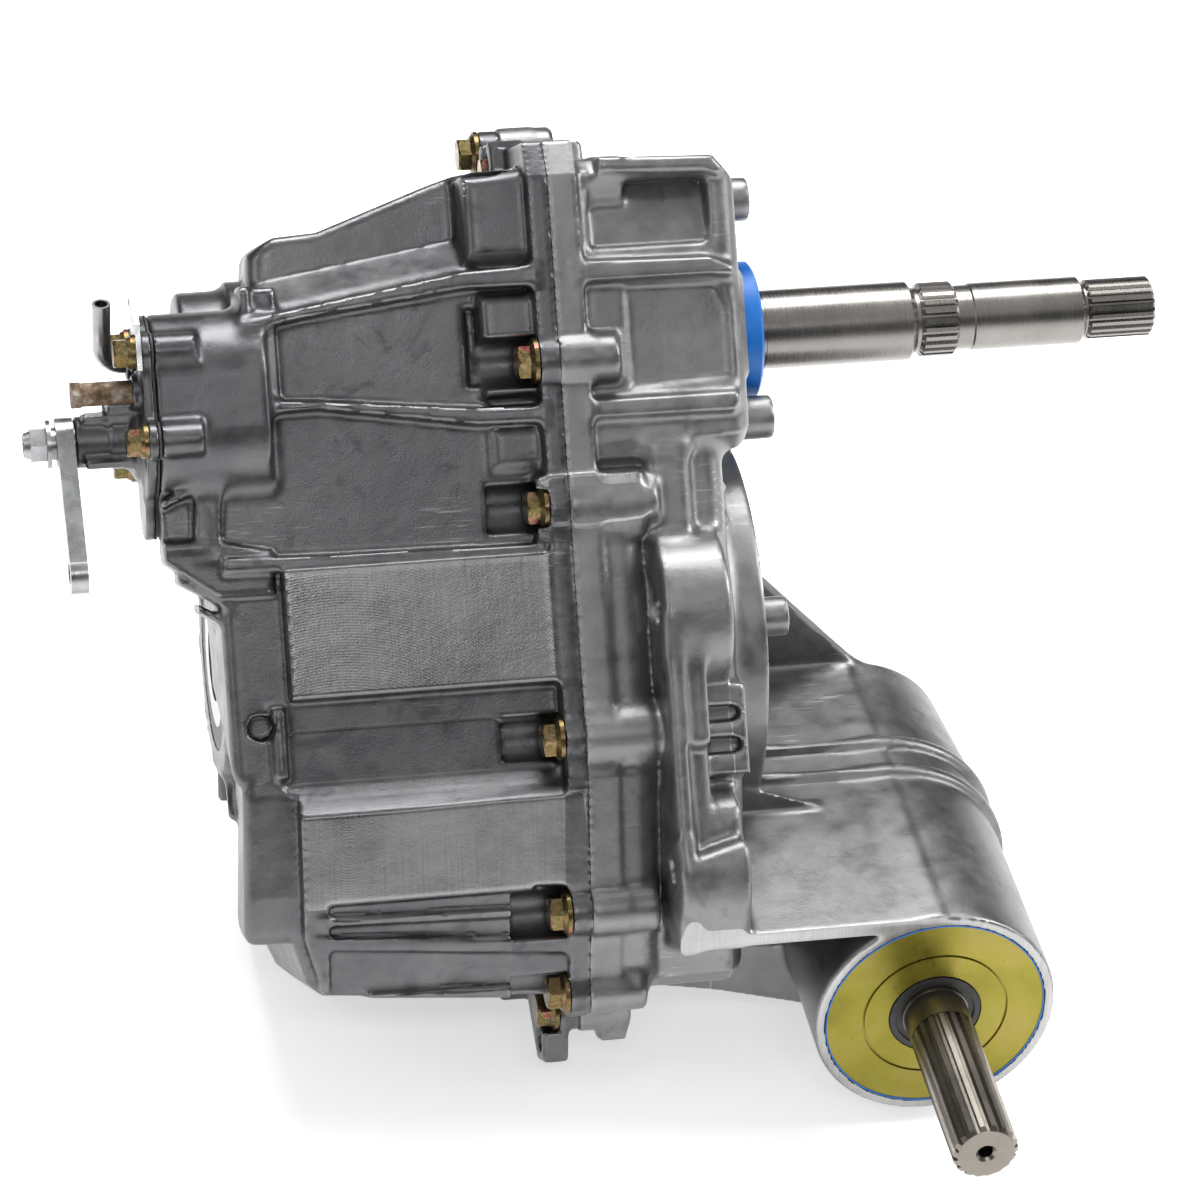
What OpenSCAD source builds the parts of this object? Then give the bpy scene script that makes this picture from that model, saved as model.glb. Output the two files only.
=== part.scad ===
// Side-by-side vehicle transmission: two die-cast case halves split at x = 0,
// an input shaft with range gears, a countershaft, a locked rear output spool,
// a bevel drive to a front output shaft, and a drum shift mechanism.
// +X runs along the input shaft towards the clutch, -Y towards the front
// output, +Z up. Model datum: the input axis at the joint between the halves.

/* [Case] */
// Length of the left case half, from the joint to its outer wall
left_len = 132; // [131:1:134]
// Length of the right case half, from the joint to its outer wall
right_len = 62; // [62:1:63]
// Thickness of the cast walls
wall = 6; // [5:0.5:6.5]
// Thickness of the left joint flange
flange_l = 8; // [7:0.5:9]
// Thickness of the right joint flange
flange_r = 11.5; // [10:0.5:13]
// Radius of the bosses around the case bolts
boss_r = 9.2; // [9:0.1:9.6]

/* [Input shaft] */
// Radius of the clutch journal
journal_r = 15.4; // [15.3:0.02:15.5]
// Radius of the outer journal
nose_r = 13.15; // [12.8:0.05:13.4]
// Radius over the end spline
end_spline_r = 11.7; // [11.3:0.1:12]
// Far end of the input shaft along X
shaft_end = 246.5; // [243:0.5:250]

/* [Output shaft] */
// Radius over the front output spline
out_spline_r = 12.5; // [12:0.1:12.6]
// Number of teeth on the front output spline
out_spline_n = 18; // [14:1:22]
// Length of the front output shaft beyond its seal
out_len = 81; // [70:1:95]

/* [Shift] */
// Length of the shift lever between its two centres
lever_len = 54.5; // [50:0.5:58]
// Thickness of the shift lever
lever_t = 6.5; // [5:0.5:7]

/* [Fasteners] */
// Across-flats size of the flange bolts
bolt_af = 12; // [12:0.5:13]
// Radius of the bolt flange
bolt_flange_r = 8.9; // [8.5:0.1:9]

/* [Hidden] */
$fn = 48;
e = 0.02;
// the part's origin is the middle of the clutch journal, this far from the model datum
datum = [-119, 0, 0];

// shaft centres, as [y, z]
A = [0, 0];
m1 = 2.5;                 // module of the range gears
n_lo_a = 16; n_lo_b = 40; // low range pair
n_hi_a = 26; n_hi_b = 30; // high range pair
n_rv_a = 15; n_rv_i = 13; n_rv_b = 36; // reverse train
ab = m1 * (n_lo_a + n_lo_b) / 2;
m2 = 3;                   // module of the final drive
n_pin = 14; n_ring = 44; n_tr = 20;
bc = m2 * (n_pin + n_ring) / 2;
C = [-40, -111];
ac = norm(C);
t_b = (ab * ab - bc * bc + ac * ac) / (2 * ac);
p_b = sqrt(ab * ab - t_b * t_b);
uc = C / ac;
B = [uc[0] * t_b - uc[1] * p_b, uc[1] * t_b + uc[0] * p_b];
cd = m2 * (n_ring + n_tr) / 2;
out_x = 131.9;            // front output axis
out_z = -196.4;
seal_y = -185;            // face of the front output seal
D = [C[0] - sqrt(cd * cd - pow(C[1] - out_z, 2)), out_z];
ub = B / ab;
r_ai = m1 * (n_rv_a + n_rv_i) / 2;
r_bi = m1 * (n_rv_b + n_rv_i) / 2;
t_i = (r_ai * r_ai - r_bi * r_bi + ab * ab) / (2 * ab);
p_i = sqrt(r_ai * r_ai - t_i * t_i);
I = [ub[0] * t_i + ub[1] * p_i, ub[1] * t_i - ub[0] * p_i];

// the front of the case slopes: h runs up the slope and d runs into the case
function hd(h, d) = [0.57002 * h + 0.82163 * d, 0.82163 * h - 0.57002 * d];
function rot2(p, a) = [p[0] * cos(a) - p[1] * sin(a), p[0] * sin(a) + p[1] * cos(a)];
function ang(p) = atan2(p[1], p[0]);

// shift drum axis, fork rail axis, and the two centres of the drum housing's outline
S = hd(-27, -44);
R = hd(-52, -32);
H1 = hd(-7.5, -44);
H2 = hd(-24, -44);
// outline of the joint flange
F = [hd(74, -56), hd(60, -63), hd(-165, -63), hd(-205, -52), hd(-252, -32), hd(-258, -18),
     hd(-258, 66.5), [10, -250], [49, -217], [81, -160], [103, -100], [106, -40], [92, 16], [64, 48], hd(74, 20)];
// polygon moved inwards by t (the list runs clockwise or not, sgn picks the side)
function unit2(v) = v / norm(v);
function inset(P, t) = let(n = len(P)) [for (i = [0:n - 1])
    let(a = P[(i + n - 1) % n], b = P[i], c = P[(i + 1) % n],
        u = unit2(b - a), v = unit2(c - b),
        nu = [-u[1], u[0]], nv = [-v[1], v[0]],
        k = 1 + nu * nv)
    b + t * (nu + nv) / k];

// extrude a [y, z] outline along X from x0 to x1
module along_x(x0, x1) translate([x0, 0, 0]) rotate([90, 0, 90]) linear_extrude(x1 - x0) children();
module yz(P, x0, x1) along_x(x0, x1) polygon(P);
module cyl(c, r, x0, x1) translate([x0, c[0], c[1]]) rotate([0, 90, 0]) cylinder(r = r, h = x1 - x0);
module cone_x(c, r0, r1, x0, x1) translate([x0, c[0], c[1]]) rotate([0, 90, 0]) cylinder(r1 = r0, r2 = r1, h = x1 - x0);
module ycyl(r, y0, y1, x = out_x, z = out_z) translate([x, y1, z]) rotate([90, 0, 0]) cylinder(r = r, h = y1 - y0);
// turned piece on an axis along X, from [radius, x] points
module turned(c, P) translate([0, c[0], c[1]]) rotate([0, 90, 0]) rotate_extrude() polygon(P);
module ring_x(c, ro, ri, x0, x1) difference() { cyl(c, ro, x0, x1); cyl(c, ri, x0 - 1, x1 + 1); }

// involute gear outline with a tooth centred on angle ph
pa = 25;
function inv_pt(rb, r) = let(al = acos(min(1, rb / r))) tan(al) * 180 / PI - al;
function gear_pts(n, m, ph, back = 0.16, flank = 3) =
    let(rp = n * m / 2, rb = rp * cos(pa), ra = rp + 0.9 * m, rf = rp - 1.2 * m,
        half = 90 / n - back / rp * 180 / PI, i0 = inv_pt(rb, rp), r0 = max(rb, rf))
    [for (k = [0:n - 1]) let(c = ph + k * 360 / n) each concat(
        [rf * [cos(c - half - i0 * 0.98 - 0.3), sin(c - half - i0 * 0.98 - 0.3)]],
        [for (j = [0:flank]) let(r = r0 + (ra - r0) * j / flank, w = half + i0 - inv_pt(rb, r)) r * [cos(c - w), sin(c - w)]],
        [for (j = [flank:-1:0]) let(r = r0 + (ra - r0) * j / flank, w = half + i0 - inv_pt(rb, r)) r * [cos(c + w), sin(c + w)]],
        [rf * [cos(c + half + i0 * 0.98 + 0.3), sin(c + half + i0 * 0.98 + 0.3)]])];
// phase of gear 2 (n2 teeth, centre p2) in mesh with gear 1 (n1 teeth, centre p1, phase ph1)
function mesh_ph(p1, n1, ph1, p2, n2) = let(th = ang(p2 - p1))
    th + 180 - (0.5 - (th - ph1) * n1 / 360) * 360 / n2;
module gear_x(c, n, m, ph, x0, x1) translate([0, c[0], c[1]]) yz(gear_pts(n, m, ph), x0, x1);

ph_lo_a = 0; ph_lo_b = mesh_ph(A, n_lo_a, ph_lo_a, B, n_lo_b);
ph_hi_a = 0; ph_hi_b = mesh_ph(A, n_hi_a, ph_hi_a, B, n_hi_b);
ph_rv_a = 0; ph_rv_i = mesh_ph(A, n_rv_a, ph_rv_a, I, n_rv_i); ph_rv_b = mesh_ph(I, n_rv_i, ph_rv_i, B, n_rv_b);
ph_pin = 0; ph_ring = mesh_ph(B, n_pin, ph_pin, C, n_ring); ph_tr = mesh_ph(C, n_ring, ph_ring, D, n_tr);

// spline outline: n teeth between radii ri and ro
function spline_pts(n, ri, ro) = [for (k = [0:n - 1]) let(c = k * 360 / n, p = 360 / n) each
    [ri * [cos(c - p * 0.36), sin(c - p * 0.36)], ro * [cos(c - p * 0.21), sin(c - p * 0.21)],
     ro * [cos(c + p * 0.21), sin(c + p * 0.21)], ri * [cos(c + p * 0.36), sin(c + p * 0.36)]]];
module spline_x(c, n, ri, ro, x0, x1) intersection() {
    translate([0, c[0], c[1]]) yz(spline_pts(n, ri, ro), x0, x1);
    union() {
        cone_x(c, ri - 0.3, ro + 0.1, x0, x0 + (ro - ri));
        cyl(c, ro + 0.1, x0 + (ro - ri), x1 - (ro - ri));
        cone_x(c, ro + 0.1, ri - 0.3, x1 - (ro - ri), x1);
    }
}

// ball bearing on axis c: two races, and balls between them
module bearing_x(c, ri, ro, x0, x1, n = 9) {
    rm = (ri + ro) / 2; t = (ro - ri) * 0.24; xm = (x0 + x1) / 2; rb = (ro - ri) * 0.29;
    difference() { ring_x(c, ro - e, ro - t, x0, x1); translate([xm, c[0], c[1]]) rotate([0, 90, 0]) rotate_extrude() translate([rm, 0]) circle(r = rb + 0.05); }
    difference() { ring_x(c, ri + t, ri + e, x0, x1); translate([xm, c[0], c[1]]) rotate([0, 90, 0]) rotate_extrude() translate([rm, 0]) circle(r = rb + 0.05); }
    for (k = [0:n - 1]) translate([xm, c[0] + rm * cos(k * 360 / n), c[1] + rm * sin(k * 360 / n)]) sphere(r = rb);
}

// case bolts, as [y, z, length of the right boss]
bolts = [
    [hd(57, -46), 30], [hd(-8.2, -58), 23], [hd(-62.7, -56), 34], [hd(-149.8, -56), 32],
    [hd(-215.8, -45), 26], [hd(-247, -27), 22], [hd(-256, 2), 20], [hd(66, -4), 20],
    [[86, 35], 22], [[110, -45], 22], [[105, -118], 22], [[73, -190], 22], [[14, -242], 16]];
// ears on the right case that take the vehicle's mount bolts
ear1 = hd(-105, -47); ear2 = hd(-203, -47); ear_r = 30; ear_x = [31, 57];
ear_holes = [hd(-105, -62.5), hd(-203, -62.5)];
// clutch cover bosses, as [y, z, x start, x end]
cover_bosses = [[hd(50, -16), 50, 85], [hd(-34, -18), 50, 88.5], [hd(-110.6, -25), 57, 87.5]];
cover_bolts_yz = [hd(4, -66), hd(-29, -74), hd(8, -20), hd(-36, -10)];
vent = hd(1, -40);

// extrude an [x, z] outline along Y
module along_xz(P, y0, y1) translate([0, y1, 0]) rotate([90, 0, 0]) linear_extrude(y1 - y0) polygon(P);
// extrude an [x, h] outline into the case, from depth d0 to d1
module along_d(P, d0, d1) rotate([55.2467, 0, 0]) translate([0, 0, -d1]) linear_extrude(d1 - d0) polygon(P);
// band between two centres a and b, of half-width w
module band(a, b, w, x0, x1) let(u = unit2(b - a), n = [-u[1], u[0]] * w) yz([a + n, a - n, b - n, b + n], x0, x1);

// ---------------------------------------------------------------- case
// space above the lower gear chamber
module above(h0, h1, x0, x1) yz([hd(h0, -130), hd(h0, 34), hd(h1, 60), hd(h1, 130), hd(200, 130), hd(200, -130)], x0, x1);
// the outer wall draws in towards the back, above and below the bearing level; t moves it inwards
module draw_in(t) difference() {
    union() {
        intersection() {
            above(-8 - t, 4 - t, -140, -80);
            translate([t, 0, -60]) linear_extrude(200) polygon([[-118, -61], [-109.6, 16], [-103, 70], [-103, 130], [-160, 130], [-160, -61]]);
        }
        translate([t, 0, -300]) linear_extrude(196 + t * 0.3) polygon([[-132.9, -155], [-118, -40.3], [-112.8, 0], [-105, 60], [-105, 130], [-160, 130], [-160, -155]]);
    }
    // bulges that clear the low gears and the spool
    cyl(B, 63.2 - t, -116.6 + t, -70);
    cyl(A, 30.4 - t, -116.4 + t, -70);
    cyl(C, 42 - t, -117.6 + t, -70);
}
module left_interior() difference() {
    yz(inset(F, 16), -left_len + wall, 1);
    draw_in(6.2);
    // the floor steps up towards the left
    along_d([[-140, -213], [-104, -214], [-96, -235], [-60, -239], [-60, -290], [-140, -290]], -120, 160);
    // bearing pockets stand inwards from the outer walls
    cyl(A, 30, -150, -110.5); cyl(B, 33, -150, -113); cyl(C, 47, -150, -111);
    cyl(D, 30, -20, 2);
    for (i = [0, 1, 2, 3, 4, 5, 7]) cyl(bolts[i][0], 13.4, -34, 2);
    yz([hd(14, -70), hd(14, -48), hd(34, -29.7), hd(90, -29.7), hd(90, -70)], -140, -33.4);
    yz([D + [-14, 0], D + [14, 0], D + [10, -60], D + [-10, -60]], -20, 2);
    // the roof falls towards the left
    along_d([[-140, 35], [-108, 35], [-82, 39.8], [-28, 59], [-20, 90], [-140, 90]], -120, 120);
}
module left_case() color("silver") difference() {
    union() {
        yz(F, -flange_l, 0);
        difference() {
            union() {
                yz(inset(F, 9), -left_len, -flange_l + 1);
                // boxes that carry the upper bolts
                yz([hd(17, -50), hd(17, -59), hd(-20, -59), hd(-20, -50)], -28, -1);
            }
            // the upper left corner steps back above the first fin
            yz([hd(20, -70), hd(20, -54.2), hd(38.5, -36), hd(100, -36), hd(100, -70)], -140, -27.7);
            draw_in(0);
            along_d([[-140, 41], [-108.6, 41], [-101, 45.1], [-84.4, 46], [-26, 66.8], [-20, 90], [-140, 90]], -120, 120);
            along_d([[-140, -219], [-108, -220], [-101.5, -241], [-34, -247.5], [-12, -248.6], [-12, -300], [-140, -300]], -120, 160);
        }
        along_d([[-117, 9.6], [-117, 13], [-93, 17.3], [-34, 26.6], [-4, 27.6], [-4, 20], [-34, 20.3], [-93, 13.3]], -63.6, -46);
        along_d([[-117, -21.5], [-117, -16], [-91, -18], [-32, -24.4], [-4, -25], [-4, -31.4], [-32, -30.6], [-91, -21]], -63.6, -46);
        along_d([[-118, -18], [-118, 25], [-114, 25], [-114, -18]], -60.5, -46);
        for (b = bolts) cyl(b[0], boss_r, -flange_l, 0);
        // block that crosses the joint, and machined pads on the front face
        yz([hd(-50.5, -50), hd(-51.8, -64), hd(-68, -64), hd(-75, -60), hd(-75, -50)], -12.4, -0.5);
        yz([hd(-79, -52), hd(-80.5, -62.5), hd(-127, -62.5), hd(-129, -52)], -109, -1);
        difference() {
            yz([hd(-169, -50), hd(-171, -61.5), hd(-206, -51), hd(-247, -32.5), hd(-247, -20), hd(-215, -35)], -106, -1);
            along_d([[-120, -180], [-107, -180], [-101.5, -241], [-34, -247.5], [-12, -248.6], [-12, -300], [-120, -300]], -120, 0);
        }
        // drum housing
        cyl(H1, 26, -152, -112); cyl(H2, 26, -152, -112); band(H1, H2, 25.5, -152, -112);
        cyl(R, 13, -152, -112); band(H2, R, 12.5, -152, -112);
        for (b = cover_bolts_yz) { cyl(b, 6.5, -152, -134); band(b, H2, 6, -152, -134); }
        // outer bearing housings
        cyl(C, 57, -122, -112);
        cyl(C, 44.5, -128.5, -111);
        cyl(A, 28, -137, -112);
        cyl(B, 31, -147, -left_len + 2);
        for (k = [0:9]) translate([-127, C[0], C[1]]) rotate([k * 36 + 10, 0, 0]) translate([0, -2, 42]) cube([12, 4, 19]);
        // top lug and mounting tab
        yz([hd(56, -22), hd(75, -18), hd(78, -12), hd(78, 8), hd(56, 18)], -14, 0);
        yz([hd(-247, -12), hd(-277, 3), hd(-277, 19), hd(-247, 40)], -14, -4);
        // reverse idler and transfer bearing feet join the joint flange
        yz([D + [-14, 0], D + [14, 0], D + [10, -52], D + [-10, -52]], -20, 0);
    }
    left_interior();
    // bearing seats
    cyl(A, 23.5, -130, -115.9); cyl(A, 17, -117, -100); cyl(B, 23.5, -130, -112); cyl(C, 40, -121.7, -110.9); cyl(D, 23.5, -16, 5);
    // axle opening and its seal seat
    cyl(C, 28, -left_len - 20, -100); cyl(C, 34, -left_len - 20, -123.5);
    // drum chamber, open to the cover and to the gears
    difference() {
        union() { cyl(S, 21, -153, -119); cyl(R, 10.5, -153, -110); band(S, R, 10, -153, -119); }
        cyl(A, 26.5, -160, -90);
    }
    cyl(S, 8, -120, -113.5);
    for (b = bolts) cyl(b[0], 4.4, -flange_l - 1, 1);
    for (b = [bolts[1], bolts[3]]) cyl(b[0], 6.5, -6, 1);
    for (b = cover_bolts_yz) cyl(b, 3, -153, -138);
    cyl(hd(-268.5, 11), 4.5, -15, -3);
    // filler port in the floor
    translate([-70, -40, -251]) cylinder(r = 8, h = 30);
    // spot face around every bolt head
    for (b = bolts) cyl(b[0], 9.4, -30, -flange_l);
}

module right_case() color("silver") difference() {
    union() {
        yz(F, 0, flange_r);
        yz(inset(F, 9), flange_r - 1, right_len);
        for (b = bolts) cyl(b[0], boss_r, 0, b[1]);
        yz([hd(-50.5, -50), hd(-51.8, -64), hd(-68, -64), hd(-75, -60.7), hd(-75, -50)], 0.5, 28.8);
        yz([hd(-64, -50), hd(-64, -59.5), hd(-165, -59.5), hd(-203, -49.5), hd(-246, -30), hd(-246, -16), hd(-64, -16)], 0.5, 26);
        // input bearing housing and its front wall
        cyl(A, 38, right_len - 5, 76.5);
        yz([hd(64, -50), hd(58, -57), hd(-40, -57), hd(-44, -50), hd(-44, 20), hd(64, 20)], 20, 73);
        cyl(B, 36, right_len - 5, 68);
        // rear output flange with its rim and webs
        cyl(C, 75, right_len - 4, 66);
        ring_x(C, 75, 69, 60, 76);
        cyl(C, 46, right_len - 4, 80);
        for (k = [0:11]) translate([60, C[0], C[1]]) rotate([k * 30 + 8, 0, 0]) translate([0, -2, 40]) cube([14, 4, 33]);
        for (b = cover_bosses) cyl(b[0], 8.4, b[1], b[2]);
        // ears, and the plate between them that runs into the front output's face
        cyl(ear1, ear_r, ear_x[0], ear_x[1]); cyl(ear2, ear_r, ear_x[0], ear_x[1]);
        band(ear1, ear1 + hd(0, 30), ear_r - 0.6, ear_x[0], ear_x[1]);
        band(ear2, ear2 + hd(0, 30), ear_r - 0.6, ear_x[0], ear_x[1]);
        yz([hd(-105, -75), hd(-203, -75), [seal_y, -149], [seal_y, -157], [-150, -162], hd(-203, -20), hd(-105, -20)], ear_x[0], ear_x[0] + 6);
        yz([hd(-110, -71), hd(-198, -71), hd(-198, -36), hd(-110, -36)], 30.5, 46);
        yz([hd(-190, -73), [seal_y + 1, -150], [seal_y + 1, -155], hd(-203, -30), hd(-190, -36)], 30.5, 54);
        // pillar above the upper ear
        yz([hd(-40, -58), hd(-44, -60), hd(-90, -60), hd(-90, -46), hd(-40, -46)], 31, 48);
        // arm around the transfer shaft, and the tube around the front output shaft
        cyl(D, 37, 40, out_x);
        translate([out_x, 0, out_z]) rotate([90, 0, 0]) rotate_extrude() polygon([[0, 11], [38, 11], [43, 13.5], [46.6, 60], [46.8, 70.5], [49.6, 72.5], [49.6, 76.2], [46.9, 78.2], [46.9, 88.6], [49.6, 90.6], [49.6, 94.4], [47, 96.4], [47.2, 150], [47.2, -seal_y], [0, -seal_y]]);
        // roof plate, rear wall, gusset and lower web
        yz([[seal_y, out_z + 47.2], [seal_y, out_z + 41.2], [-150, out_z + 41], [-11, out_z + 37], [-11, out_z + 43.2], [-150, out_z + 47.1]], ear_x[0], out_x);
        along_xz([[50, -228], [out_x, -235], [out_x, -154], [50, -154]], -21, -11);
        along_xz([[60, -154], [60, -80], [69, -80], [out_x + 6, -154.5], [out_x, -158]], -16, -11);
        along_xz([[4, -212], [60, -224], [100, -236], [out_x - 20, -238], [out_x - 20, -205], [60, -200]], -128, -118);
        // reverse idler post and fork rail boss
        cyl(I, 11, 3, right_len - 2);
        yz([hd(-38, -52), hd(-38, -30), hd(-66, -30), hd(-66, -52)], 3, 16);
        // top lug and mounting tab
        yz([hd(56, -23), hd(76, -19), hd(77, 7), hd(56, 18)], 0, 22);
        yz([hd(-247, -12), hd(-270, 0), hd(-270, 10), hd(-247, 30)], 8, 19);
    }
    // inside, the idler post and the rail boss stand in the open
    difference() {
        yz(inset(F, 16), -1, right_len - wall);
        cyl(I, 11, 3, 100);
        yz([hd(-38, -52), hd(-38, -24), hd(-66, -24), hd(-66, -52)], 3, 16);
    }
    cyl(I, 7.0, -1, 49);
    cyl(R, 6.03, -1, 13);
    // bearing seats
    cyl(A, 31, 56, 74); cyl(A, 22, 73, 78);
    cyl(B, 31, 40, 63); cyl(C, 40, 40, 68);
    cyl(C, 29, 60, 82); cyl(C, 36, 72, 82);
    cyl(D, 34.7, 14, 48); cyl(D, 26, 40, 77); cyl(D, 22, 70, 90); cyl(D, 33, 88, out_x);
    // front output bore, stepped for the gear, the bearings and the seal
    ycyl(33, -134, -46); ycyl(31, -177, -130); ycyl(43, seal_y - 1, -176); ycyl(23.5, -60, -16);
    for (b = bolts) cyl(b[0], 3.95, -1, b[1] - 4);
    for (b = [bolts[1], bolts[3]]) cyl(b[0], 6.5, -1, 6);
    for (b = cover_bosses) cyl(b[0], 3.4, b[2] - 16, b[2] + 1);
    for (c = ear_holes) cyl(c, 5.25, ear_x[0] - 1, ear_x[1] + 1);
    }

// outline shared by the cover and its gasket
module cover_plate(x0, x1) {
    cyl(H1, 26, x0, x1); cyl(H2, 26, x0, x1); band(H1, H2, 25.5, x0, x1);
    cyl(R, 13, x0, x1); band(H2, R, 12.5, x0, x1);
    for (b = cover_bolts_yz) { cyl(b, 7, x0, x1); band(b, H2, 6.4, x0, x1); }
}
module shift_cover() color("silver") difference() {
    union() {
        cover_plate(-156.5, -152.8);
        cone_x(S, 10.5, 15, -166, -156);
        cyl(S, 9.6, -181, -156);
        // webs around the lever boss
        for (k = [-60, 10, 100, 190]) translate([-178, S[0], S[1]]) rotate([k, 0, 0]) translate([0, -1.5, 0]) rotate([90, 0, 90]) linear_extrude(22) polygon([[0, 0], [3, 0], [3, 11], [0, 11]]);
        for (k = [-60, 10, 100]) translate([-170, S[0], S[1]]) rotate([k, 0, 0]) translate([0, -1.5, 10]) cube([14, 3, 8]);
        cyl(vent, 6, -160, -156);
        cyl(hd(-10, -60), 6.4, -160, -156);
        cyl(R, 9.5, -156, -150);
    }
    cyl(S, 6.03, -182, -150);
    cyl(R, 6.03, -155, -149);
    cyl(S, 19, -154.8, -150);
    cyl(S, 8, -182, -177.4);
    for (b = cover_bolts_yz) cyl(b, 3.4, -158, -150);
    cyl(vent, 3.42, -161, -150);
    cyl(hd(-10, -60), 4.43, -165, -158);
}
module cover_gasket() color("dimgray") difference() {
    cover_plate(-152.8, -152);
    cyl(S, 21, -154, -151); cyl(R, 10.5, -154, -151); band(S, R, 10, -154, -151);
    for (b = cover_bolts_yz) cyl(b, 3.4, -154, -151);
}

// flange bolt with its head towards -X, seated at x = x0
module flange_bolt(c, x0, r, len, af, fr) {
    translate([x0, c[0], c[1]]) rotate([0, -90, 0]) {
        cylinder(r = fr, h = 1.6);
        translate([0, 0, 1.6]) cylinder(r1 = fr - 0.6, r2 = af * 0.56, h = 1.4);
        intersection() { cylinder(r = af / 2 / cos(30), h = 8, $fn = 6); union() { cylinder(r = af, h = 6.8); translate([0, 0, 6.8]) cylinder(r1 = af / 2 / cos(30), r2 = af * 0.47, h = 1.2); } }
        translate([0, 0, -len]) cylinder(r = r, h = len + 0.5);
    }
}
module case_bolts() color("goldenrod") for (b = bolts) flange_bolt(b[0], -flange_l, 3.9, flange_l + b[1] - 5, bolt_af, bolt_flange_r);
module cover_bolts() color("goldenrod") for (i = [0:3]) flange_bolt(cover_bolts_yz[i], i == 0 ? -158.42 : -156.52, 2.9, i == 0 ? 18.9 : 17, 10, 6.8);
module dowel_pins() color("gray") for (b = [bolts[1], bolts[3]]) ring_x(b[0], 6.48, 4.6, -5.8, 5.8);

// ---------------------------------------------------------------- input
module input_shaft() color("gray") {
    cyl(A, 9.98, -129.5, -112);
    cyl(A, 14, -112.01, -109.4);
    gear_x(A, n_lo_a, m1, ph_lo_a, -109.5, -94);
    cyl(A, 15.4, -94.01, -67);
    cyl(A, 14, -67.01, -47.4);
    gear_x(A, n_rv_a, m1, ph_rv_a, -47.5, -29.5);
    cyl(A, 14, -29.51, 18);
    cyl(A, 18, 18, 57);
    cyl(A, 14.97, 56.9, 90);
    turned(A, [[0, 90], [journal_r, 90], [journal_r, 148], [13, 150.4], [0, 150.4]]);
    
    cyl(A, 12.6, 150.3, 153);
    spline_x(A, 24, 13, 14.4, 152, 167);
    turned(A, [[0, 166], [12.6, 166], [12.6, 173], [nose_r, 173.6], [nose_r, 216.8], [nose_r - 1.6, 218.4], [0, 218.4]]);
    cyl(A, end_spline_r - 1.5, 218, 221);
    spline_x(A, 22, end_spline_r - 1.3, end_spline_r, 219.5, shaft_end);
}
module input_high_gear() color("darkgray") difference() {
    union() { gear_x(A, n_hi_a, m1, ph_hi_a, -66.9, -51); cyl(A, 22, -66.9, -50); }
    cyl(A, 14.02, -72, -48);
}
module input_bearing_left() color("lightgray") bearing_x(A, 10, 23.5, -130, -116, 8);
module input_bearing_right() color("lightgray") bearing_x(A, 15, 31, 58, 74);
module input_snap_ring() color("dimgray") ring_x(A, 16.4, 14.02, -49.9, -48.3);
module input_seal() color("royalblue") difference() {
    union() { cyl(A, 27, 76.52, 85.3); cone_x(A, 27, 25.6, 85.3, 86.4); cyl(A, 21.98, 74.8, 76.6); }
    cyl(A, 15.02, 74, 91);
}

// ---------------------------------------------------------------- countershaft
module counter_shaft() color("gray") {
    cyl(B, 9.98, -129.5, -114);
    cyl(B, 14.95, -114.01, 12);
    gear_x(B, n_pin, m2, ph_pin, 18, 44);
    cyl(B, 17, 11.9, 18.01);
    cyl(B, 17, 43.9, 47.5);
    cyl(B, 14.97, 47.4, 63);
}
module free_gear(n, ph, x0, x1, dog_x0, dog_x1) difference() {
    union() {
        gear_x(B, n, m1, ph, x0, x1);
        for (k = [0:3]) translate([dog_x0, B[0], B[1]]) rotate([k * 90, 0, 0]) translate([0, -4, 16.6]) cube([dog_x1 - dog_x0, 8, 5]);
        cyl(B, 17.5, min(x0, dog_x0) + 0.6, max(x1, dog_x1) - 0.6);
    }
    cyl(B, 15, -140, 40);
    if (n > 32) for (k = [0:5]) cyl(B + rot2([n * m1 / 4 + 5, 0], k * 60 + 30), n * 0.15, x0 - 1, x1 + 1);
}
module low_gear() color("darkgray") free_gear(n_lo_b, ph_lo_b, -109.5, -94, -94.1, -90);
module high_gear() color("darkgray") free_gear(n_hi_b, ph_hi_b, -66.9, -51, -71, -66.8);
module reverse_gear() color("darkgray") free_gear(n_rv_b, ph_rv_b, -47.5, -30, -30.1, -26);
module collar(x0, x1) difference() {
    cyl(B, 28, x0, x1);
    cyl(B, 15.0, x0 - 1, x1 + 1);
    ring_x(B, 30, 25, (x0 + x1) / 2 - 2.4, (x0 + x1) / 2 + 2.4);
    for (k = [0:3]) translate([x0 - 1, B[0], B[1]]) rotate([k * 90 + 45, 0, 0]) translate([0, -5.5, 16.2]) cube([x1 - x0 + 2, 11, 6]);
}
module range_collar() color("silver") collar(-85.5, -75.5);
module reverse_collar() color("silver") collar(-21.5, -11.5);
module thrust_washers() color("lightgray") {
    ring_x(B, 20, 15.0, -112.6, -110); ring_x(B, 19, 15.0, -50.6, -48);
}
module counter_bearing_left() color("lightgray") bearing_x(B, 10, 23.5, -130, -116, 8);
module counter_bearing_right() color("lightgray") bearing_x(B, 15, 31, 48, 63);
module reverse_idler() color("darkgray") difference() {
    gear_x(I, n_rv_i, m1, ph_rv_i, -47.5, -29.5);
    cyl(I, 7.04, -50, -20);
}
module idler_pin() color("gray") cyl(I, 6.98, -49, 48.5);

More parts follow.
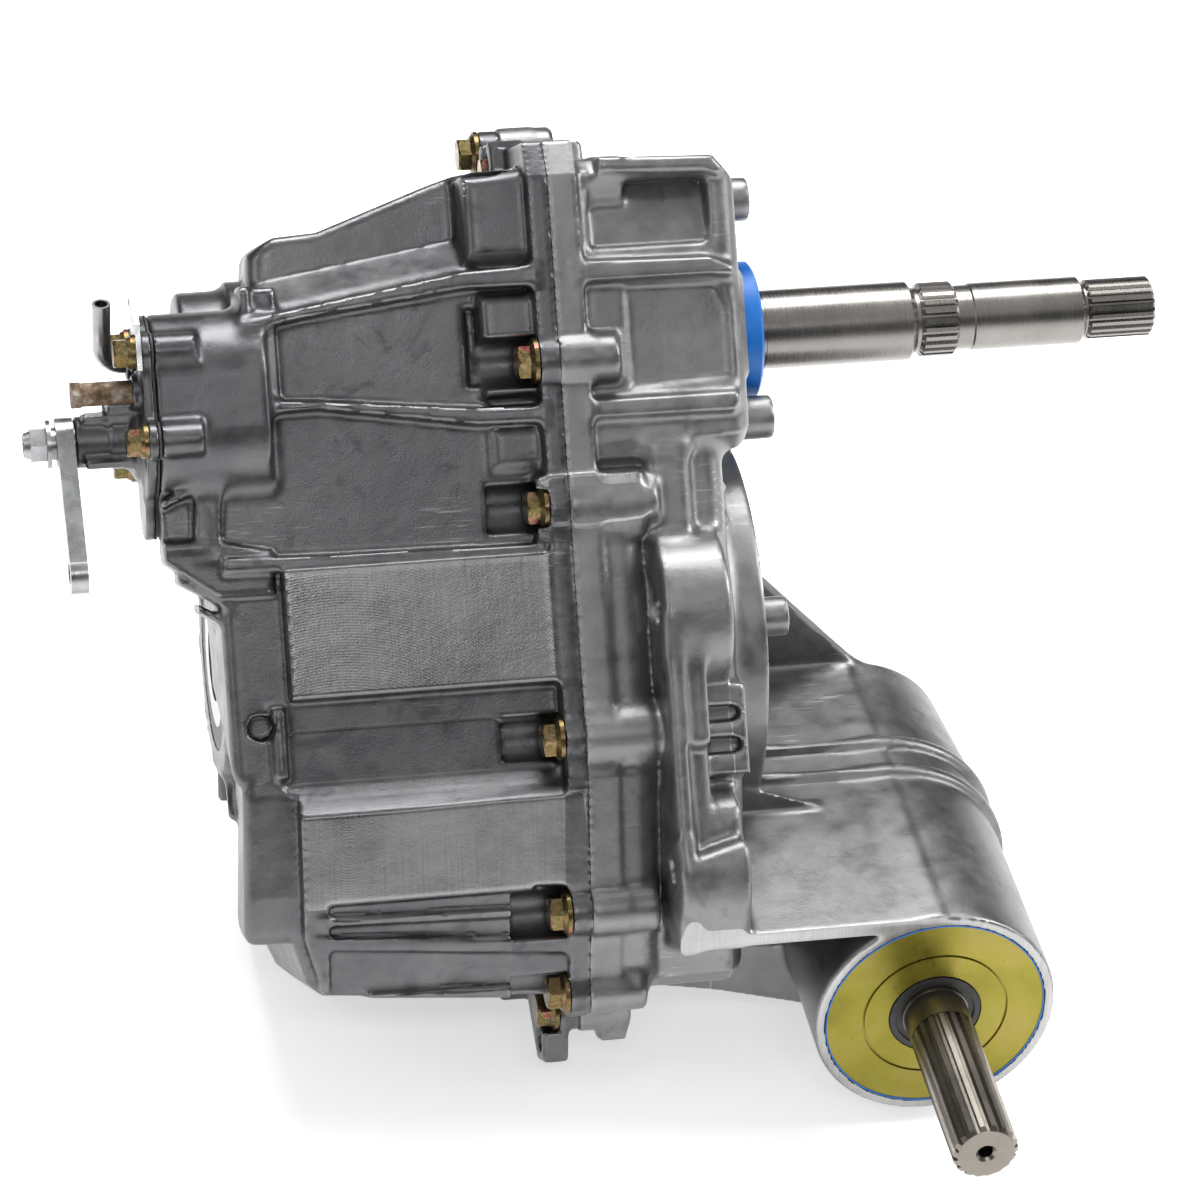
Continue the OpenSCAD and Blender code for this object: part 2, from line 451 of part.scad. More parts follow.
// ---------------------------------------------------------------- rear output
module rear_spool() color("gray") difference() {
    union() {
        cyl(C, 24.98, -128, -108);
        cyl(C, 32, -108.01, 16);
        cyl(C, 48, 12, 19);
        cyl(C, 36, 18.99, 46);
        cyl(C, 24.98, 45.9, 79);
    }
    cyl(C, 15, -130, -115); cyl(C, 15.2, 66, 80);
    intersection() { translate([0, C[0], C[1]]) yz(spline_pts(24, 13.4, 14.6), -116, 67); union() { cyl(C, 15, -116, -70); cyl(C, 15, 20, 67); } }
    cyl(C, 12, -71, 21);
    for (k = [0:7]) cyl(C + rot2([42, 0], k * 45), 4.02, 10, 20);
}
module ring_gear() color("darkgray") difference() {
    gear_x(C, n_ring, m2, ph_ring, 19.02, 43);
    cyl(C, 36.02, 18, 45);
    ring_x(C, 58, 46.5, 30, 45);
    for (k = [0:7]) cyl(C + rot2([42, 0], k * 45), 4.02, 18, 36);
}
module ring_gear_bolts() color("dimgray") for (k = [0:7]) flange_bolt(C + rot2([42, 0], k * 45), 12, 3.98, 22, 10, 5.8);
module spool_bearing_left() color("lightgray") bearing_x(C, 25, 40, -121.5, -111, 12);
module spool_bearing_right() color("lightgray") bearing_x(C, 25, 40, 52, 68, 12);
module axle_seal_left() color("dimgray") ring_x(C, 33.98, 25.04, -128, -123.6);
module axle_seal_right() color("dimgray") ring_x(C, 35.98, 25.04, 72, 79.5);

// ---------------------------------------------------------------- front drive
bev_n = 16; bev_r = 26; bev_w = 9;
// bevel outline: teeth as straight-sided wedges
function bev_pts(n, r, ph) = [for (k = [0:n - 1]) let(c = ph + k * 360 / n, p = 360 / n) each
    [(r - 2.7) * [cos(c - p * 0.30), sin(c - p * 0.30)], r * [cos(c - p * 0.19), sin(c - p * 0.19)],
     (r + 1.9) * [cos(c - p * 0.095), sin(c - p * 0.095)], (r + 1.9) * [cos(c + p * 0.095), sin(c + p * 0.095)],
     r * [cos(c + p * 0.19), sin(c + p * 0.19)], (r - 2.7) * [cos(c + p * 0.30), sin(c + p * 0.30)]]];
module transfer_shaft() color("gray") {
    cyl(D, 9.98, -15, 2); cyl(D, 14, 1.9, 61.5); cyl(D, 12.48, 61.4, 90);
}
module transfer_gear() color("darkgray") difference() {
    union() { gear_x(D, n_tr, m2, ph_tr, 20, 42); cyl(D, 20, 16, 46); }
    cyl(D, 14.02, 10, 50);
}
module bevel_pinion() color("darkgray") difference() {
    union() {
        translate([out_x - bev_r, D[0], D[1]]) rotate([90, 0, 90]) linear_extrude(bev_w, scale = (bev_r - bev_w) / bev_r) polygon(bev_pts(bev_n, bev_r, 0));
        cone_x(D, 18, 23.3, out_x - bev_r - 11, out_x - bev_r);
    }
    cyl(D, 12.5, 80, 118);
}
module transfer_bearing_left() color("lightgray") bearing_x(D, 10, 23.5, -15.5, -2, 8);
module transfer_bearing_right() color("lightgray") bearing_x(D, 12.5, 26, 62, 77);
module at_out() translate([out_x, 0, out_z]) rotate([0, 0, -90]) children();
module output_shaft() color("dimgray") {
    oe = -seal_y + out_len;
    at_out() difference() {
        union() {
            cyl([0, 0], 9.98, 16.5, 40);
            cyl([0, 0], 12.4, 39.9, 132);
            cyl([0, 0], 14.97, 131.9, 152);
            cyl([0, 0], 12.9, 151.9, -seal_y + 0.2); cyl([0, 0], 12.5, -seal_y + 0.1, -seal_y + 13);
            spline_x([0, 0], out_spline_n, out_spline_r - 1.6, out_spline_r, -seal_y + 12, oe);
            cyl([0, 0], out_spline_r - 1.7, -seal_y + 12, oe - 0.01);
        }
        cyl([0, 0], 2.8, oe - 12, oe + 1);
        cone_x([0, 0], 2.8, 4, oe - 1.2, oe + 0.01);
    }
}
module bevel_gear() color("darkgray") difference() {
    union() {
        translate([out_x, D[0] - bev_r, out_z]) rotate([-90, 0, 0]) linear_extrude(bev_w, scale = (bev_r - bev_w) / bev_r) polygon(bev_pts(bev_n, bev_r, 180 / bev_n));
        translate([out_x, D[0] - bev_r - 12, out_z]) rotate([-90, 0, 0]) cylinder(r1 = 17, r2 = 23.3, h = 12);
    }
    ycyl(12.42, -150, -80);
}
module output_bearing_front() color("lightgray") at_out() bearing_x([0, 0], 15, 31, 134, 150);
module output_bearing_rear() color("lightgray") at_out() bearing_x([0, 0], 10, 23.5, 16.5, 30, 8);
module output_snap_ring() color("dimgray") at_out() ring_x([0, 0], 30.95, 27, 150.1, 151.9);
module output_seal() color("darkkhaki") at_out() difference() {
    cyl([0, 0], 42.4, 176.5, 184.4);
    cyl([0, 0], 18.3, 175, 190);
    ring_x([0, 0], 28.6, 27.6, 183.2, 190);
    ring_x([0, 0], 40.6, 29.4, 175, 180);
}
module output_seal_lip() color("black") at_out() difference() {
    union() { cyl([0, 0], 18.28, 177.5, 183.6); ring_x([0, 0], 17.6, 15.6, 183.5, 184.6); }
    cyl([0, 0], 12.94, 170, 190);
}
module output_seal_band() color("royalblue") at_out() ring_x([0, 0], 42.98, 42.42, 176.5, 184.7);

// ---------------------------------------------------------------- shift
lever_dir = -152; // lever's direction in the yz plane at rest
lx1 = -181.6; lx0 = lx1 - lever_t; // the lever's two faces
tip = S + rot2([lever_len, 0], lever_dir);
module shift_shaft() color("gray") {
    cyl(S, 6, -190, -149); cyl(S, 4, -199, -189.9);
    cyl(S, 7.9, -149.1, -113.9);
}
// helical track: the pin at the fork's side moves 0.1 mm along X per degree
module drum_track(xc) let(a = ang(R - S)) for (k = [-9:9])
    translate([xc - 0.55 * k, S[0], S[1]]) rotate([a + k * 5.5, 0, 0]) translate([-3.5, 0, 0]) rotate([-90, 0, 0]) translate([0, -1.6, 12.5]) cube([7, 3.2, 12]);
module shift_drum() color("darkgray") difference() {
    cyl(S, 18, -149, -121);
    cyl(S, 7.92, -150, -120);
    drum_track(-142); drum_track(-128);
}
module shift_lever() color("lightsteelblue") difference() {
    union() {
        cyl(S, 9.5, lx0, lx1); cyl(tip, 7.5, lx0, lx1);
        let(u = unit2(tip - S), n = [-u[1], u[0]]) yz([S + n * 9.3, S - n * 9.3, tip - n * 7.4, tip + n * 7.4], lx0, lx1);
    }
    cyl(S, 6.02, -200, -170);
    cyl(tip, 4, -200, -170);
}
module lever_washer() color("silver") ring_x(S, 9, 4.05, -191.6, -190.05);
module lever_nut() color("silver") difference() {
    union() {
        translate([-197.6, S[0], S[1]]) rotate([0, 90, 0]) cylinder(r = 6.9, h = 5.9, $fn = 6);
        cone_x(S, 4.6, 5.4, -200, -197.59);
    }
    cyl(S, 4.02, -201, -190);
}
module shift_seal() color("dimgray") ring_x(S, 7.98, 6.04, -181, -177.5);
// follower pin that rides in a drum track
module follower(x) translate([x, R[0], R[1]]) rotate([ang(S - R), 0, 0]) rotate([-90, 0, 0]) cylinder(r = 2.8, h = norm(S - R) - 14);
module fork_rail() color("gray") { cyl(R, 6, -150.4, 8); follower(-142); }
// fork plate: reaches from the rail to the far side of the collar's groove
module fork_plate(xc, hole) let(a = ang(R - B)) difference() {
    along_x(xc - 1.8, xc + 1.8) polygon([R + rot2([9, 8.5], a - 90),
        B + rot2([37, 0], a - 40), B + rot2([36, 0], a - 82), B + rot2([24, 0], a - 90), B + rot2([24, 0], a + 90), B + rot2([36, 0], a + 82), B + rot2([37, 0], a + 40), R + rot2([-9, 8.5], a - 90)]);
    cyl(B, 25.4, xc - 5, xc + 5);
    translate([xc - 5, B[0], B[1]]) rotate([a, 0, 0]) translate([0, -60, -60]) cube([10, 60, 120]);
    if (hole) cyl(I, 9.5, xc - 5, xc + 5);
}
module range_fork() color("tan") difference() {
    union() { fork_plate(-80.5, false); cyl(R, 8, -132, -72); follower(-128); }
    cyl(R, 6.03, -140, -60);
}
module reverse_fork() color("tan") difference() {
    union() { fork_plate(-16.5, true); cyl(R, 9, -26, -6); }
    cyl(R, 6.0, -40, 10);
}

// ---------------------------------------------------------------- outside fittings
module vent_tube() color("silver") translate([0, vent[0], vent[1]]) {
    difference() {
        union() {
            translate([-160.5, 0, 0]) rotate([0, 90, 0]) cylinder(r = 3.4, h = 6);
            translate([-160.5, 0, 8]) rotate([90, 0, 0]) rotate([0, 0, 180]) rotate_extrude(angle = 90) translate([8, 0]) circle(r = 3.4);
            translate([-168.5, 0, 8]) cylinder(r = 3.4, h = 19);
        }
        translate([-168.5, 0, 8]) cylinder(r = 2.4, h = 23);
        translate([-160.5, 0, 8]) rotate([90, 0, 0]) rotate([0, 0, 180]) rotate_extrude(angle = 90) translate([8, 0]) circle(r = 2.4);
        translate([-160.5, 0, 0]) rotate([0, 90, 0]) cylinder(r = 2.4, h = 14);
    }
}
module detent_bolt() color("sienna") {
    cyl(hd(-10, -60), 4.4, -179, -158.2);
    translate([-182.5, hd(-10, -60)[0], hd(-10, -60)[1]]) rotate([0, 90, 0]) cylinder(r = 5.4, h = 3.52, $fn = 6);
}
module hose_bracket() color("gainsboro") difference() {
    yz([hd(29, -51), hd(29, -59), hd(14, -74), hd(-3, -74), hd(-3, -61), hd(12, -57)], -158.4, -156.52);
    cyl(cover_bolts_yz[0], 3.4, -160, -150);
    cyl(hd(23, -56), 1.6, -160, -150);
}
module fill_plug() color("silver") translate([-70, -40, -249.8]) { cylinder(r = 7.9, h = 9); }

// every piece keeps its shape about the model datum and is carried to the origin
module place() translate(datum) children();

place() left_case();
place() right_case();
place() shift_cover();
place() cover_gasket();
place() case_bolts();
place() cover_bolts();
place() dowel_pins();
place() input_shaft();
place() input_high_gear();
place() input_bearing_left();
place() input_bearing_right();
place() input_snap_ring();
place() input_seal();
place() counter_shaft();
place() low_gear();
place() high_gear();
place() reverse_gear();
place() range_collar();
place() reverse_collar();
place() thrust_washers();
place() counter_bearing_left();
place() counter_bearing_right();
place() reverse_idler();
place() idler_pin();
place() rear_spool();
place() ring_gear();
place() ring_gear_bolts();
place() spool_bearing_left();
place() spool_bearing_right();
place() axle_seal_left();
place() axle_seal_right();
place() transfer_shaft();
place() transfer_gear();
place() bevel_pinion();
place() transfer_bearing_left();
place() transfer_bearing_right();
place() output_shaft();
place() bevel_gear();
place() output_bearing_front();
place() output_bearing_rear();
place() output_snap_ring();
place() output_seal();
place() output_seal_lip();
place() output_seal_band();
place() shift_shaft();
place() shift_drum();
place() shift_lever();
place() lever_washer();
place() lever_nut();
place() shift_seal();
place() fork_rail();
place() range_fork();
place() reverse_fork();
place() vent_tube();
place() detent_bolt();
place() hose_bracket();
place() fill_plug();
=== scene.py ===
# Looks of a side-by-side vehicle transmission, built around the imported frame.
# Every length is in metres in the part's own frame unless a name ends in mm.
import math
import bmesh
import bpy
import numpy as np
from mathutils import Matrix, Vector


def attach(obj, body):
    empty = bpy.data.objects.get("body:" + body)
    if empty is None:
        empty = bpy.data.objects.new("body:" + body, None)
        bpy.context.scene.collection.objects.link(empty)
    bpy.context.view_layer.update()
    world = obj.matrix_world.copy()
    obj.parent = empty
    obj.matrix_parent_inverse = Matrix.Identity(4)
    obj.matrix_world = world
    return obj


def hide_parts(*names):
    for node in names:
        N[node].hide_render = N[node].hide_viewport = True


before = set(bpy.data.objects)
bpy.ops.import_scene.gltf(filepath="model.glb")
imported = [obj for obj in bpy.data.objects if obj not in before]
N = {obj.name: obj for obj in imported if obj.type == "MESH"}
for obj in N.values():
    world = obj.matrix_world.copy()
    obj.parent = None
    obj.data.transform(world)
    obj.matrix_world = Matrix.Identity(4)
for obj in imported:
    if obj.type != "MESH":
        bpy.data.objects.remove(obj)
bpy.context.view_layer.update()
scene = bpy.context.scene
DX = -119.0  # the frame's origin sits this far (mm) from the joint between the case halves


# ------------------------------------------------------------------ materials
class Mat:
    """Small helper around one Principled material, with object coordinates in metres."""

    def __init__(self, name, **sockets):
        self.m = bpy.data.materials.new(name)
        self.m.use_nodes = True
        self.t = self.m.node_tree
        self.t.nodes.clear()
        self.out = self.t.nodes.new("ShaderNodeOutputMaterial")
        self.b = self.t.nodes.new("ShaderNodeBsdfPrincipled")
        self.t.links.new(self.b.outputs[0], self.out.inputs[0])
        self.co = self.t.nodes.new("ShaderNodeTexCoord").outputs["Object"]
        for k, v in sockets.items():
            self.b.inputs[k.replace("_", " ")].default_value = v

    def link(self, a, b):
        self.t.links.new(a, b)
        return b

    def mapped(self, scale=(1, 1, 1), rot=(0, 0, 0), loc=(0, 0, 0)):
        n = self.t.nodes.new("ShaderNodeMapping")
        n.inputs["Scale"].default_value = scale
        n.inputs["Rotation"].default_value = rot
        n.inputs["Location"].default_value = loc
        self.link(self.co, n.inputs["Vector"])
        return n.outputs[0]

    def noise(self, scale, detail=4, rough=0.55, vec=None, distort=0.0):
        n = self.t.nodes.new("ShaderNodeTexNoise")
        n.inputs["Scale"].default_value = scale
        n.inputs["Detail"].default_value = detail
        n.inputs["Roughness"].default_value = rough
        n.inputs["Distortion"].default_value = distort
        self.link(vec if vec is not None else self.co, n.inputs["Vector"])
        return n.outputs["Fac"]

    def voronoi(self, scale, vec=None):
        n = self.t.nodes.new("ShaderNodeTexVoronoi")
        n.inputs["Scale"].default_value = scale
        self.link(vec if vec is not None else self.co, n.inputs["Vector"])
        return n.outputs["Distance"]

    def wave(self, scale, vec=None, kind="RINGS", direction="SPHERICAL", distort=0.0, dscale=1.0):
        n = self.t.nodes.new("ShaderNodeTexWave")
        n.wave_type = kind
        if kind == "RINGS":
            n.rings_direction = direction
        else:
            n.bands_direction = direction
        n.inputs["Scale"].default_value = scale
        n.inputs["Distortion"].default_value = distort
        n.inputs["Detail Scale"].default_value = dscale
        self.link(vec if vec is not None else self.co, n.inputs["Vector"])
        return n.outputs["Fac"]

    def math(self, op, a, b=0.5, c=0.5, clamp=False):
        n = self.t.nodes.new("ShaderNodeMath")
        n.operation = op
        n.use_clamp = clamp
        for i, v in enumerate((a, b, c)):
            if hasattr(v, "is_linked") or hasattr(v, "links"):
                self.link(v, n.inputs[i])
            else:
                n.inputs[i].default_value = v
        return n.outputs[0]

    def remap(self, v, a, b, c=0.0, d=1.0, smooth=False):
        n = self.t.nodes.new("ShaderNodeMapRange")
        n.interpolation_type = "SMOOTHSTEP" if smooth else "LINEAR"
        for i, x in enumerate((a, b, c, d)):
            n.inputs[i + 1].default_value = x
        self.link(v, n.inputs[0])
        return n.outputs[0]

    def ramp(self, v, stops):
        n = self.t.nodes.new("ShaderNodeValToRGB")
        e = n.color_ramp.elements
        while len(e) > 1:
            e.remove(e[-1])
        for i, (p, c) in enumerate(stops):
            s = e[0] if i == 0 else e.new(p)
            s.position = p
            s.color = (*c, 1)
        self.link(v, n.inputs[0])
        return n.outputs[0]

    def mix(self, f, a, b):
        n = self.t.nodes.new("ShaderNodeMix")
        n.data_type = "RGBA"
        self.link(f, n.inputs[0]) if hasattr(f, "links") else setattr(n.inputs[0], "default_value", f)
        for i, v in ((6, a), (7, b)):
            if hasattr(v, "links"):
                self.link(v, n.inputs[i])
            else:
                n.inputs[i].default_value = (*v, 1)
        return n.outputs[2]

    def pointy(self):
        return self.t.nodes.new("ShaderNodeNewGeometry").outputs["Pointiness"]

    def normal_z(self):
        n = self.t.nodes.new("ShaderNodeSeparateXYZ")
        self.link(self.t.nodes.new("ShaderNodeNewGeometry").outputs["Normal"], n.inputs[0])
        return n.outputs

    def axis(self, vec=None):
        n = self.t.nodes.new("ShaderNodeSeparateXYZ")
        self.link(vec if vec is not None else self.co, n.inputs[0])
        return n.outputs

    def bump(self, height, strength=0.3, dist=0.0004):
        n = self.t.nodes.new("ShaderNodeBump")
        n.inputs["Strength"].default_value = strength
        n.inputs["Distance"].default_value = dist
        self.link(height, n.inputs["Height"])
        if self.b.inputs["Normal"].is_linked:
            self.link(self.b.inputs["Normal"].links[0].from_socket, n.inputs["Normal"])
        self.link(n.outputs[0], self.b.inputs["Normal"])

    def color(self, v):
        self.link(v, self.b.inputs["Base Color"])

    def rough(self, v):
        self.link(v, self.b.inputs["Roughness"])


def cast_material(name, dark, light, rough=(0.36, 0.56), edge=0.35, stain=0.5, seed=0.0, grain=1.0, planes=()):
    k = Mat(name, Metallic=0.93)
    big = k.noise(11 + seed, 5, 0.62, k.mapped(loc=(seed, seed * 2, 0)))
    mid = k.noise(95, 6, 0.62)
    fine = k.noise(1300, 3, 0.6)
    spots = k.noise(38, 3, 0.75, k.mapped(loc=(seed * 3, 0, 1)), 0.8)
    v = k.math("ADD", k.math("MULTIPLY", big, 0.55), k.math("MULTIPLY", mid, 0.45))
    base = k.ramp(v, [(0.34, dark), (0.5, tuple((a + b) / 2 for a, b in zip(dark, light))), (0.66, light)])
    smear = k.remap(spots, 0.56, 0.72, 0, stain, True)
    base = k.mix(smear, base, tuple(x * 0.62 for x in dark))
    p = k.pointy()
    # convex edges mixed towards pale grey: partly edge wear, partly a painted highlight along every edge
    base = k.mix(k.remap(p, 0.515, 0.60, 0, edge), base, (0.80, 0.80, 0.80))
    # hollows and creases mixed towards a near-black tone: painted shade where the concave corners get less light
    base = k.mix(k.remap(p, 0.485, 0.40, 0, 0.55), base, tuple(x * 0.30 for x in dark))
    r = k.remap(mid, 0.3, 0.7, rough[0], rough[1])
    r = k.math("ADD", r, k.math("MULTIPLY", smear, 0.14))
    r = k.math("SUBTRACT", r, k.remap(p, 0.52, 0.60, 0, 0.10))
    # short scuffs in patches
    scuff = k.noise(1.0, 3, 0.5, k.mapped(scale=(70, 700, 1100), rot=(0.4, 0.3, 0.7)))
    patch = k.remap(k.noise(17, 2, 0.5, k.mapped(loc=(seed * 3 + 1, 2, 5))), 0.60, 0.68)
    sm = k.math("MULTIPLY", k.math("MULTIPLY", k.remap(scuff, 0.58, 0.66), patch), 0.55)
    base = k.mix(sm, base, tuple(min(1, x * 2.0) for x in light))
    # faces that were milled flat: every point within 0.25 mm of one of the planes
    if planes:
        ax = k.axis()
        mask = None
        for (nx, ny, nz), off, (x0, x1), (h0, h1) in planes:
            dist = k.math("ADD", k.math("ADD", k.math("MULTIPLY", ax[0], nx), k.math("MULTIPLY", ax[1], ny)), k.math("MULTIPLY", ax[2], nz))
            m = k.math("LESS_THAN", k.math("ABSOLUTE", k.math("SUBTRACT", dist, off / 1000)), 0.00028)
            hh = k.math("ADD", k.math("MULTIPLY", ax[1], 0.57002), k.math("MULTIPLY", ax[2], 0.82163))
            for v, lo, hi in ((ax[0], x0, x1), (hh, h0, h1)):
                m = k.math("MULTIPLY", m, k.math("MULTIPLY", k.math("GREATER_THAN", v, lo / 1000), k.math("LESS_THAN", v, hi / 1000)))
            mask = m if mask is None else k.math("MAXIMUM", mask, m)
        lines = k.noise(1.0, 4, 0.62, k.mapped(scale=(1500, 26, 26), rot=(0, 0, 0)))
        blot = k.noise(26, 5, 0.62, k.mapped(loc=(5, 5, 5)))
        mill = k.ramp(k.math("ADD", k.math("MULTIPLY", lines, 0.35), k.math("MULTIPLY", blot, 0.65)),
                      [(0.36, tuple(x * 1.05 for x in light)), (0.62, tuple(min(1, x * 1.6) for x in light))])
        base = k.mix(mask, base, mill)
        r = k.math("ADD", k.math("MULTIPLY", r, k.math("SUBTRACT", 1.0, mask)), k.math("MULTIPLY", k.remap(blot, 0.3, 0.7, 0.26, 0.40), mask))
        k.bump(k.math("MULTIPLY", lines, mask), 0.35, 0.00010)
        sw = k.wave(300, k.mapped(loc=(0.21, 0.15, 0.12)), "RINGS", "SPHERICAL", 0.8, 2.0)
        k.bump(k.math("MULTIPLY", sw, mask), 0.12, 0.00010)
    k.color(base)
    k.rough(r)
    k.bump(k.noise(70, 4, 0.5), 0.22 * grain, 0.0012)
    k.bump(fine, 0.30 * grain, 0.00022)
    pits = k.remap(k.voronoi(420), 0.0, 0.20, 0, 1)
    k.bump(pits, 0.10 * grain, 0.00012)
    return k.m


def machined_material(name, base=(0.60, 0.60, 0.60), arcs=True, along=0, rough=0.30):
    k = Mat(name, Metallic=1.0)
    st = [1500, 1500, 1500]
    st[along] = 18
    lines = k.noise(1.0, 4, 0.6, k.mapped(scale=st))
    blotch = k.noise(22, 5, 0.6)
    dark = tuple(x * 0.74 for x in base)
    c = k.ramp(k.math("ADD", k.math("MULTIPLY", lines, 0.45), k.math("MULTIPLY", blotch, 0.55)), [(0.36, dark), (0.62, base)])
    p = k.pointy()
    # edges mixed towards pale grey: partly edge wear, partly a painted highlight along the edges
    c = k.mix(k.remap(p, 0.52, 0.60, 0, 0.4), c, (0.85, 0.85, 0.85))
    k.color(c)
    k.rough(k.remap(blotch, 0.3, 0.7, rough - 0.06, rough + 0.12))
    k.bump(lines, 0.22, 0.00012)
    if arcs:
        sw = k.wave(330, k.mapped(loc=(0.21, 0.11, 0.09)), "RINGS", "SPHERICAL", 0.6, 2.0)
        k.bump(sw, 0.10, 0.00010)
    return k.m


def turned_material(name, base, axis=0, rough=0.22, spread=0.08, metallic=1.0, lines=2600):
    """Ground or turned metal: fine rings around the axis."""
    k = Mat(name, Metallic=metallic)
    st = [3, 3, 3]
    st[axis] = lines
    r = k.noise(1.0, 3, 0.7, k.mapped(scale=st))
    blotch = k.noise(45, 4, 0.6)
    k.color(k.ramp(k.math("ADD", k.math("MULTIPLY", r, 0.5), k.math("MULTIPLY", blotch, 0.5)),
                   [(0.35, tuple(x * 0.70 for x in base)), (0.65, base)]))
    k.rough(k.remap(k.math("ADD", k.math("MULTIPLY", r, 0.6), k.math("MULTIPLY", blotch, 0.4)), 0.3, 0.7, rough - spread, rough + spread))
    k.bump(r, 0.20, 0.00008)
    return k.m


def zinc_yellow_material():
    k = Mat("zinc_yellow", Metallic=0.95)
    n = k.noise(160, 4, 0.6, None, 1.2)
    k.color(k.ramp(n, [(0.30, (0.10, 0.065, 0.026)), (0.43, (0.20, 0.135, 0.058)), (0.50, (0.095, 0.092, 0.036)),
                       (0.58, (0.25, 0.165, 0.090)), (0.68, (0.24, 0.060, 0.070)), (0.78, (0.15, 0.105, 0.048))]))
    k.rough(k.remap(k.noise(500, 3, 0.6), 0.3, 0.7, 0.20, 0.40))
    k.bump(k.noise(900, 2, 0.5), 0.15, 0.0001)
    return k.m


def simple_material(name, stops, scale=120, rough=(0.3, 0.45), metallic=0.0, bump=(900, 0.15, 0.0001), detail=4, **sockets):
    k = Mat(name, Metallic=metallic, **sockets)
    n = k.noise(scale, detail, 0.6)
    k.color(k.ramp(n, stops))
    k.rough(k.remap(k.noise(scale * 2.3, 3, 0.6), 0.3, 0.7, rough[0], rough[1]))
    k.bump(k.noise(bump[0], 3, 0.6), bump[1], bump[2])
    return k.m


M = {}
NF = (0.0, 0.82163, -0.57002)  # into the case, across its sloping front
M["cast"] = cast_material("cast_aluminium", (0.160, 0.161, 0.164), (0.285, 0.284, 0.282), (0.33, 0.50), 0.13, 0.45, 1.0,
                          planes=[((0, 1, 0), -185.0, (-200, 200), (-400, 400)), (NF, -64.0, (-118, -88), (-80, -40)),
                                  ((1, 0, 0), -62.0, (-200, 200), (-400, -72))])
# the left casting and the shift cover: the cast aluminium of the right half again, in darker tones that are painted
# shade for the less lit left side, with a stronger grain
M["cast_left"] = cast_material("cast_aluminium_left_painted_shade", (0.078, 0.080, 0.085), (0.168, 0.168, 0.171), (0.29, 0.45), 0.12, 0.50, 3.3,
                               planes=[(NF, -62.5, (-232, -119), (-129, -78)), (NF, -64.0, (-133, -118), (-80, -40)),
                                       ((0.0, -0.95086, 0.30988), 108.06, (-240, -110), (-207, -169))])
M["machined"] = machined_material("machined_aluminium", (0.56, 0.56, 0.555))
M["machined_y"] = machined_material("machined_face", (0.60, 0.60, 0.60), True, 2, 0.34)
M["zinc_yellow"] = zinc_yellow_material()
M["steel_ground"] = turned_material("steel_ground", (0.29, 0.278, 0.262), 0, 0.28, 0.09)
M["steel_gear"] = turned_material("steel_gear", (0.42, 0.41, 0.40), 0, 0.30, 0.08)
M["steel_bearing"] = turned_material("steel_bearing", (0.66, 0.66, 0.66), 0, 0.16, 0.05)
M["steel_phosphate"] = turned_material("steel_phosphate", (0.27, 0.245, 0.215), 1, 0.34, 0.08)
M["seal_blue"] = simple_material("seal_blue", [(0.3, (0.001, 0.120, 0.46)), (0.7, (0.002, 0.165, 0.60))], 60, (0.34, 0.46), 0.0, (1400, 0.2, 0.0001))
M["seal_black"] = simple_material("seal_black", [(0.3, (0.010, 0.010, 0.011)), (0.7, (0.028, 0.027, 0.027))], 90, (0.38, 0.55), 0.0, (1200, 0.2, 0.0001))
M["zinc_olive"] = simple_material("zinc_olive", [(0.25, (0.20, 0.165, 0.018)), (0.5, (0.27, 0.235, 0.030)), (0.62, (0.31, 0.25, 0.055)), (0.78, (0.23, 0.215, 0.028))],
                                  34, (0.26, 0.40), 0.72, (1100, 0.14, 0.0001), 6)
M["zinc_bright"] = simple_material("zinc_bright", [(0.3, (0.25, 0.255, 0.262)), (0.7, (0.44, 0.445, 0.45))], 70, (0.22, 0.38), 1.0, (700, 0.12, 0.00012))
M["bronze"] = simple_material("bronze", [(0.3, (0.32, 0.17, 0.06)), (0.7, (0.48, 0.28, 0.11))], 80, (0.28, 0.44), 1.0)
M["gasket"] = simple_material("gasket", [(0.3, (0.018, 0.018, 0.020)), (0.7, (0.05, 0.05, 0.052))], 200, (0.5, 0.75), 0.0, (900, 0.4, 0.0002))
M["rust"] = simple_material("rust", [(0.3, (0.06, 0.035, 0.02)), (0.5, (0.20, 0.13, 0.08)), (0.62, (0.30, 0.26, 0.22)), (0.8, (0.42, 0.41, 0.39))], 260, (0.45, 0.85), 0.45, (900, 0.6, 0.0003))
# near-black, for painting the shade inside holes; no part here is given it
M["dark_hole"] = simple_material("dark_hole", [(0.3, (0.010, 0.010, 0.010)), (0.7, (0.03, 0.03, 0.03))], 90, (0.6, 0.8), 0.3)
M["paint_magenta"] = simple_material("paint_magenta", [(0.3, (0.22, 0.010, 0.060)), (0.7, (0.36, 0.02, 0.11))], 300, (0.4, 0.6), 0.0)


def finish_node(name, mat):
    o = N[name]
    for s in o.material_slots:
        s.material = M[mat]
    if not o.material_slots:
        raise RuntimeError("no slot on " + name)


